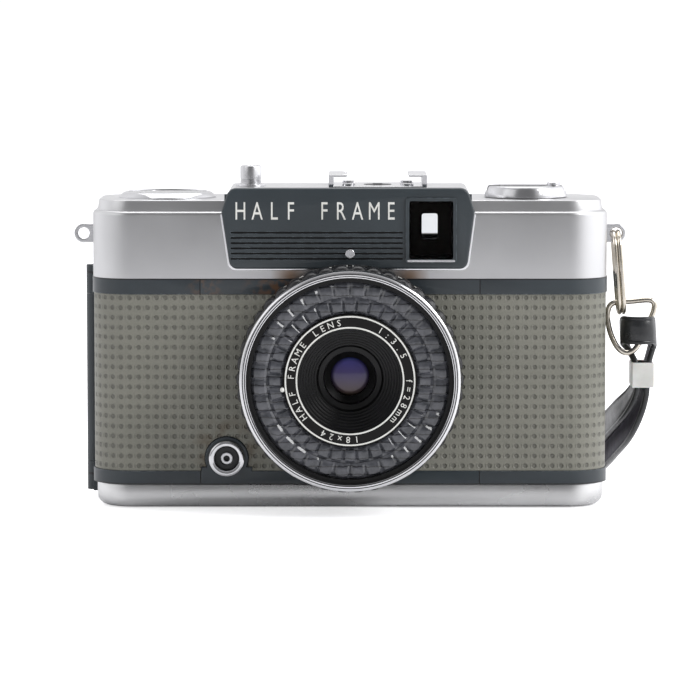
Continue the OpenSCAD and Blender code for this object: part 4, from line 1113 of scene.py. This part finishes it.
# %% Ribbed recess and glass
def build_hood():
    front, foot = WINDOW_FRONT, 19.0
    steps = 7
    rib_from, rib_to, rib_foot = 10.9, 6.9, 23.2
    rise, run = (front - rib_foot) / steps, (rib_from - rib_to) / steps
    profile = [(9.8, foot), (13.8, foot + 2), (13.8, front)]
    for index in range(steps, 0, -1):
        radius, forward = rib_to + index * run, rib_foot + index * rise
        profile += [(radius, forward), (radius - 0.08, forward - rise * 0.5),
                    (radius - run * 0.75, forward - rise * 0.6),
                    (radius - run * 0.9, forward - rise * 0.95)]
    profile += [(6.6, rib_foot - 0.4), (5.6, rib_foot - 0.6), (5.4, 20.6), (4.1, 19.6),
                (4.1, foot)]
    bm = lathe(bmesh.new(), profile, LENS_AT, "forward", steps=96)
    return make_piece("ribbed_hood", bm, [ribbed_black], "camera_body",
                      ["lens_hood"], smooth_angle=25)


def build_front_glass():
    radius, curve_r, front = 5.1, 15.0, 18.93
    dome = []
    for step in range(9):
        r = radius * step / 8
        dome.append((r, front - curve_r + math.sqrt(curve_r ** 2 - r ** 2)))
    profile = dome + [(radius, 17.0), (0.0, 17.0)]
    bm = lathe(bmesh.new(), profile, LENS_AT, "forward", steps=64)
    return make_piece("front_glass_coated", bm, [coated_glass_with_reflection], "camera_body",
                      ["front_element"], smooth_angle=30)


build_hood()
build_front_glass()

# %% [markdown]
# ## Flash socket
# A plated bush with a rounded collar and a pin in an insulated well.

# %% Flash socket
SOCKET_AT = (-26.1, 10.7)


def build_socket():
    low, high = box_mm("flash_socket")
    front, back = -low.y, -high.y
    ring = [(2.85, back + 0.4), (2.85, front - 1.3), (3.55, front - 1.3), (3.85, front - 1.0),
            (3.85, front - 0.55), (3.7, front - 0.2), (3.4, front - 0.02), (3.1, front),
            (2.75, front - 0.12), (2.5, front - 0.45), (2.4, front - 0.9), (2.3, back + 0.4)]
    bm = lathe(bmesh.new(), ring, SOCKET_AT, "forward", steps=64)
    make_piece("flash_socket_bush", bm, [bright_chrome], "camera_body",
               ["flash_socket"])
    well = lathe(bmesh.new(), [(0, back), (2.35, back), (2.35, front - 1.5), (1.5, front - 1.5),
                               (1.5, front - 2.2), (0, front - 2.2)],
                 SOCKET_AT, "forward", steps=48)
    make_piece("flash_socket_insulator", well, [black_plastic], "camera_body")
    pin = lathe(bmesh.new(), [(0.5, front - 2.3), (1.25, front - 2.3), (1.25, front - 0.75),
                              (1.1, front - 0.6), (0.7, front - 0.6), (0.55, front - 0.8)],
                SOCKET_AT, "forward", steps=32)
    make_piece("flash_socket_pin", pin, [brushed_chrome], "camera_body")


build_socket()

# %% [markdown]
# ## Finder
# The finder is a dark tube with a window at each end. A mask inside it has a small opening,
# so that from the front one sees brown-black walls and one small bright patch of daylight.

# %% Finder
def build_finder_mask():
    x0, x1, z0, z1 = finder_edges(0.2)
    plate = block((x0, -3.0, z0), (x1, -2.2, z1))
    opening = block((FINDER_X - 1.75, -5, 56.4), (FINDER_X + 1.65, 0, 61.9), 0.5, 3, along=1)
    return make_piece("finder_mask", combine(plate, [opening]), [finder_dark], "camera_body",
                      soft=0.08)


build_finder_mask()
refine("eyepiece_frame", black_plastic, 0.3, 3)

# %% [markdown]
# ## Shutter button and frame counter
# Both are turned parts. The button has a threaded hole in its top for a cable release. The
# counter's numbers are printed on a black disc under a clear window in a conical bezel.

# %% Shutter button
def build_button():
    low, high = box_mm("shutter_button")
    top = high.z
    profile = [(0.0, low.z), (1.1, low.z), (1.1, top - 5.9), (2.27, top - 5.9),
               (2.27, top - 3.3), (2.15, top - 3.2), (2.15, top - 3.0), (2.27, top - 2.9),
               (2.27, top - 0.35), (2.17, top - 0.1), (1.95, top), (1.45, top),
               (1.15, top - 0.3), (1.1, top - 0.4), (1.1, top - 2.8), (0.0, top - 2.8)]
    bm = lathe(bmesh.new(), profile, (BUTTON_X, 0), steps=48, closed=False)
    return make_piece("shutter_button_turned", bm, [brushed_chrome], "shutter_button",
                      ["shutter_button"], smooth_angle=28)


def build_button_spring():
    """The coil under the button, given a mesh of its own."""
    spring = make_piece("button_spring_coil", copy_node("button_spring"), [plain_steel],
                        "camera_body", ["button_spring"], smooth_angle=60)
    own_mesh(spring)


build_button()
build_button_spring()
refine("button_collar", bright_chrome, 0.1)

# %% Frame counter
def build_counter():
    deck = DECK_Z
    bezel = [(8.4, deck), (10.4, deck), (10.4, deck + 0.28), (10.3, deck + 0.4),
             (9.55, deck + 1.05), (9.4, deck + 1.15), (8.8, deck + 1.33), (8.5, deck + 1.33),
             (8.4, deck + 1.2)]
    bm = lathe(bmesh.new(), bezel, (COUNTER_X, 0), steps=96)
    make_piece("counter_bezel_turned", bm, [bright_chrome], "camera_body",
               ["counter_bezel"], smooth_angle=25)
    marks = bmesh.new()
    count = 36
    top = deck - 0.1
    for index in range(count):
        angle = 2 * math.pi * index / count
        long = 1.6 if index % 4 == 0 else 0.8
        tick = block((-0.09, 8.0 - long, top), (0.09, 8.0, top + 0.03))
        bmesh.ops.rotate(tick, verts=tick.verts, matrix=Matrix.Rotation(-angle, 3, "Z"))
        bmesh.ops.translate(tick, verts=tick.verts, vec=(COUNTER_X, 0, 0))
        pour(marks, tick)
        if index % 8 == 0:
            at = Vector((COUNTER_X + 4.9 * math.sin(angle), 4.9 * math.cos(angle), top))
            letter(marks, str(index * 2), 1.9, at, turn=-angle, facing="up", depth=0.02)
    make_piece("counter_numbers", marks, [white_fill], "counter_dial")


build_counter()

# %% [markdown]
# ## Rewind knob, crank and accessory shoe
# Plated pieces straight from the CAD, with their edges softened.

# %% Rewind knob, crank and accessory shoe
for plated, plating, plating_slot, softening, rounds in [
        ("rewind_knob", brushed_chrome, "bright_chrome", 0.15, 3),
        ("rewind_crank", bright_chrome, "bright_chrome", 0.15, 3),
        ("crank_grip", bright_chrome, "bright_chrome", 0.2, 3),
        ("hot_shoe", bright_chrome, "bright_chrome", 0.12, 2),
        ("screws", bright_chrome, "steel", 0.06, 2),
        ("tripod_socket", plain_steel, "steel", 0.12, 2),
        ("rewind_release", brushed_chrome, "bright_chrome", 0.15, 2)]:
    refine(plated, plating, softening, rounds)

# %% [markdown]
# ## Thumb wheel
# The film is advanced by a wheel that stands out of the back. Its rim has 60 upright notches,
# pushed in from a finely divided cylinder in the same way as the lens rings.

# %% Thumb wheel
def build_thumb_wheel():
    notches = 60
    outer, low, high = 13.4, 50.4, 54.4
    profile = [(1.6, low), (outer - 0.5, low), (outer, low + 0.5), (outer, high - 0.5),
               (outer - 0.5, high), (10.7, high), (10.5, high - 0.2), (10.5, high - 1.2),
               (1.6, high - 1.2)]
    bm = lathe(bmesh.new(), profile, SPOOL_AT, steps=notches * 5)
    for vert in bm.verts:
        out = Vector((vert.co.x - SPOOL_AT[0], vert.co.y - SPOOL_AT[1]))
        if out.length > outer - 0.51:
            wave = abs(math.cos(math.atan2(out.y, out.x) * notches / 2))
            out *= 1 - 0.45 * (1 - wave) / out.length
            vert.co.x, vert.co.y = SPOOL_AT[0] + out.x, SPOOL_AT[1] + out.y
    gear = copy_node("advance_wheel")
    bmesh.ops.bisect_plane(gear, geom=gear.verts[:] + gear.edges[:] + gear.faces[:],
                           plane_co=(0, 0, low + 0.01), plane_no=(0, 0, 1), clear_outer=True)
    bmesh.ops.holes_fill(gear, edges=[e for e in gear.edges if len(e.link_faces) == 1])
    shaft = rod(SPOOL_AT, 1.5, low, high + 1.9)
    for part in (gear, shaft):
        pour(bm, part)
    make_piece("thumb_wheel_notched", bm, [black_plastic], "advance_wheel",
               ["advance_wheel"], smooth_angle=50)


build_thumb_wheel()

# %% [markdown]
# ## Strap lugs and wire rings
# A wire is an outline carried along a line. No operator sweeps an outline round a closed line
# and keeps its width facing one way, so one short function does, and the strap uses it too.

# %% Sweeping an outline round a closed line
def smooth_line(points, steps):
    """A smooth closed line through points, with some steps between each two."""
    count = len(points)
    line = []
    for i in range(count):
        a, b, c, d = (Vector(points[(i + k) % count]) for k in (-1, 0, 1, 2))
        for k in range(steps):
            t = k / steps
            line.append(0.5 * (2 * b + (c - a) * t + (2 * a - 5 * b + 4 * c - d) * t ** 2
                               + (3 * b - a - 3 * c + d) * t ** 3))
    return line


def sweep(line, widths, outline):
    """Carries a closed outline of (across, along width) pairs round a closed line."""
    bm = bmesh.new()
    rings = []
    for i, point in enumerate(line):
        ahead = (line[(i + 1) % len(line)] - line[i - 1]).normalized()
        up = (widths[i] - ahead * widths[i].dot(ahead)).normalized()
        side = ahead.cross(up)
        rings.append([bm.verts.new(point + side * s + up * u) for s, u in outline])
    for i, ring in enumerate(rings):
        after = rings[(i + 1) % len(rings)]
        for k in range(len(ring)):
            j = (k + 1) % len(ring)
            bm.faces.new((ring[k], ring[j], after[j], after[k]))
    return bm


def round_outline(radius, sides=14):
    angles = [2 * math.pi * k / sides for k in range(sides)]
    return [(radius * math.cos(a), radius * math.sin(a)) for a in angles]

# %% Lugs and rings
STRAP_RING_BENDS = [(56.4, 0, 42.4), (60.4, 0, 42.8), (64.6, 0, 43.0), (65.2, -0.1, 41.0),
                    (63.4, -0.5, 36.8), (61.4, -0.9, 32.9), (59.4, -1.0, 31.8),
                    (57.4, -0.9, 33.0), (55.8, -0.4, 36.4), (55.3, 0, 40.2)]


def build_strap_ring():
    line = smooth_line(STRAP_RING_BENDS, 6)
    bm = sweep(line, [Vector((0, 1, 0))] * len(line), round_outline(0.6))
    return make_piece("strap_ring_wire", bm, [nickel_wire], "camera_body",
                      ["strap_ring"], smooth_angle=60)


def build_split_ring():
    """Two turns of wire side by side, each a long loop with straight sides."""
    radius, straight, wire = 3.5, 10.4, 0.5
    middle = Vector((56.9, 0, 57.5))
    lean = Matrix.Rotation(math.radians(-4.5), 3, "Y")
    bm = bmesh.new()
    bends = []
    for end, start in ((straight / 2, 0.0), (-straight / 2, math.pi)):
        for step in range(12):
            angle = start + math.pi * step / 11
            bends.append((0, radius * math.cos(angle), end + radius * math.sin(angle)))
    for side in (-1, 1):
        line = [middle + lean @ (Vector(p) + Vector((side * (wire - 0.02), 0, -8.4)))
                for p in bends]
        pour(bm, sweep(line, [Vector((1, 0, 0))] * len(line), round_outline(wire)))
    return make_piece("split_ring_wire", bm, [nickel_wire], "camera_body",
                      ["split_ring"], smooth_angle=60)


refine("strap_lugs", brushed_chrome, 0.25, 3)
build_strap_ring()
build_split_ring()

# %% [markdown]
# ## Wrist strap
# A flat leather band folded round its ring, closed by a white keeper. Its outline has round
# edges and a pressed crease line near each edge, and its inner face is the rough flesh side.

# %% Wrist strap
STRAP_ROUTE = [
    ((62.0, -3.4, 36.8), (0, 0, 1)), ((59.6, -2.6, 36.8), (0, 0, 1)),
    ((58.6, -0.4, 36.6), (0, 0.3, 1)), ((58.9, 2.2, 35.0), (0, 0.8, 0.6)),
    ((60.0, 3.2, 32.4), (0, 1, 0.1)), ((61.3, 2.2, 29.6), (0, 1, 0)),
    ((61.9, 1.4, 27.1), (0, 1, 0)), ((61.6, 2.0, 24.0), (0, 0.9, 0.4)),
    ((60.2, 4.8, 20.8), (0, 0.7, 0.7)), ((58.2, 10.0, 17.6), (0, 0.4, 1)),
    ((56.6, 17.5, 14.4), (0, 0.3, 1)), ((55.0, 26.0, 11.0), (0, 0.3, 1)),
    ((53.6, 36.0, 7.0), (0, 0.2, 1)), ((51.0, 50.0, 3.8), (0, 0, 1)),
    ((46.0, 66.0, 3.1), (0, 0, 1)), ((42.0, 79.0, 3.1), (0, 0, 1)),
    ((42.5, 89.0, 3.1), (0, 0, 1)), ((49.0, 94.5, 3.1), (0, 0, 1)),
    ((56.0, 90.0, 3.1), (0, 0, 1)), ((58.5, 79.0, 3.1), (0, 0, 1)),
    ((58.0, 64.0, 3.1), (0, 0, 1)), ((57.0, 50.0, 3.3), (0, 0, 1)),
    ((56.8, 37.0, 4.6), (0, 0.2, 1)), ((57.6, 27.0, 7.2), (0, 0.3, 1)),
    ((58.8, 18.0, 10.4), (0, 0.3, 1)), ((60.6, 10.0, 14.2), (0, 0.4, 1)),
    ((62.6, 4.6, 19.2), (0, 0.7, 0.7)), ((63.7, 2.0, 23.6), (0, 0.9, 0.3)),
    ((63.7, 1.4, 27.1), (0, 1, 0)), ((64.2, 2.2, 29.8), (0, 1, 0)),
    ((65.0, 3.0, 32.6), (0, 1, 0.1)), ((65.3, 1.8, 35.2), (0, 0.8, 0.6)),
    ((64.9, -1.0, 36.6), (0, 0.3, 1)), ((64.0, -2.8, 36.8), (0, 0, 1))]


def build_strap():
    line, widths = (smooth_line(points, 7) for points in zip(*STRAP_ROUTE))
    face = [(0.63, -2.35), (0.5, -2.2), (0.63, -2.05), (0.65, -0.7), (0.65, 0.7),
            (0.63, 2.05), (0.5, 2.2), (0.63, 2.35)]
    edge = [(0.62, 2.7), (0.45, 2.93), (0.0, 3.0)]
    half = face + edge
    outline = half + [(-s, u) for s, u in reversed(edge[:-1])] \
        + [(-s, u) for s, u in reversed(face)]
    outline += [(-s, -u) for s, u in edge] + [(s, -u) for s, u in reversed(edge[:-1])]
    bm = sweep(line, widths, outline)
    bm.faces.ensure_lookup_table()
    sides = len(outline)
    inner = range(len(face) - 1)
    for face_index, quad in enumerate(bm.faces):
        quad.material_index = 1 if face_index % sides in inner else 0
    return make_piece("wrist_strap_leather", bm, [strap_leather, strap_inside], "camera_body",
                      ["wrist_strap"], smooth_angle=60)


build_strap()
refine("strap_keeper", white_plastic, 0.6, 4)

# %% [markdown]
# ## The rest
# The inner parts keep their CAD shapes and get the finish of what they are made of.

# %% The rest
INNER_FINISHES = {
    "hinge_pin": plain_steel, "light_seals": foam_black, "shoe_contact": black_plastic,
    "counter_window": clear_glass, "finder_housing": finder_dark,
    "finder_lenses": bloomed_glass, "meter_movement": brass_movement,
    "lens_barrel": black_enamel, "selenium_cell": selenium_plate, "rear_elements": amber_glass,
    "lens_cells": ribbed_black, "shutter_plates": casting_black,
    "takeup_spool": black_plastic, "sprocket": plain_steel,
    "counter_dial": ring_face, "rewind_sleeve": brushed_chrome,
    "pressure_plate": casting_black, "shutter_blade_a": plain_steel,
    "shutter_blade_b": plain_steel, "aperture_blade_a": casting_black,
    "aperture_blade_b": casting_black, "meter_needle": red_fill,
    "low_light_flag": red_plastic}
for node_name, node_finish in INNER_FINISHES.items():
    materials = CAD_NODES[node_name].data.materials
    for index in range(len(materials)):
        materials[index] = node_finish
print("CAD nodes with a new finish:", len(INNER_FINISHES))
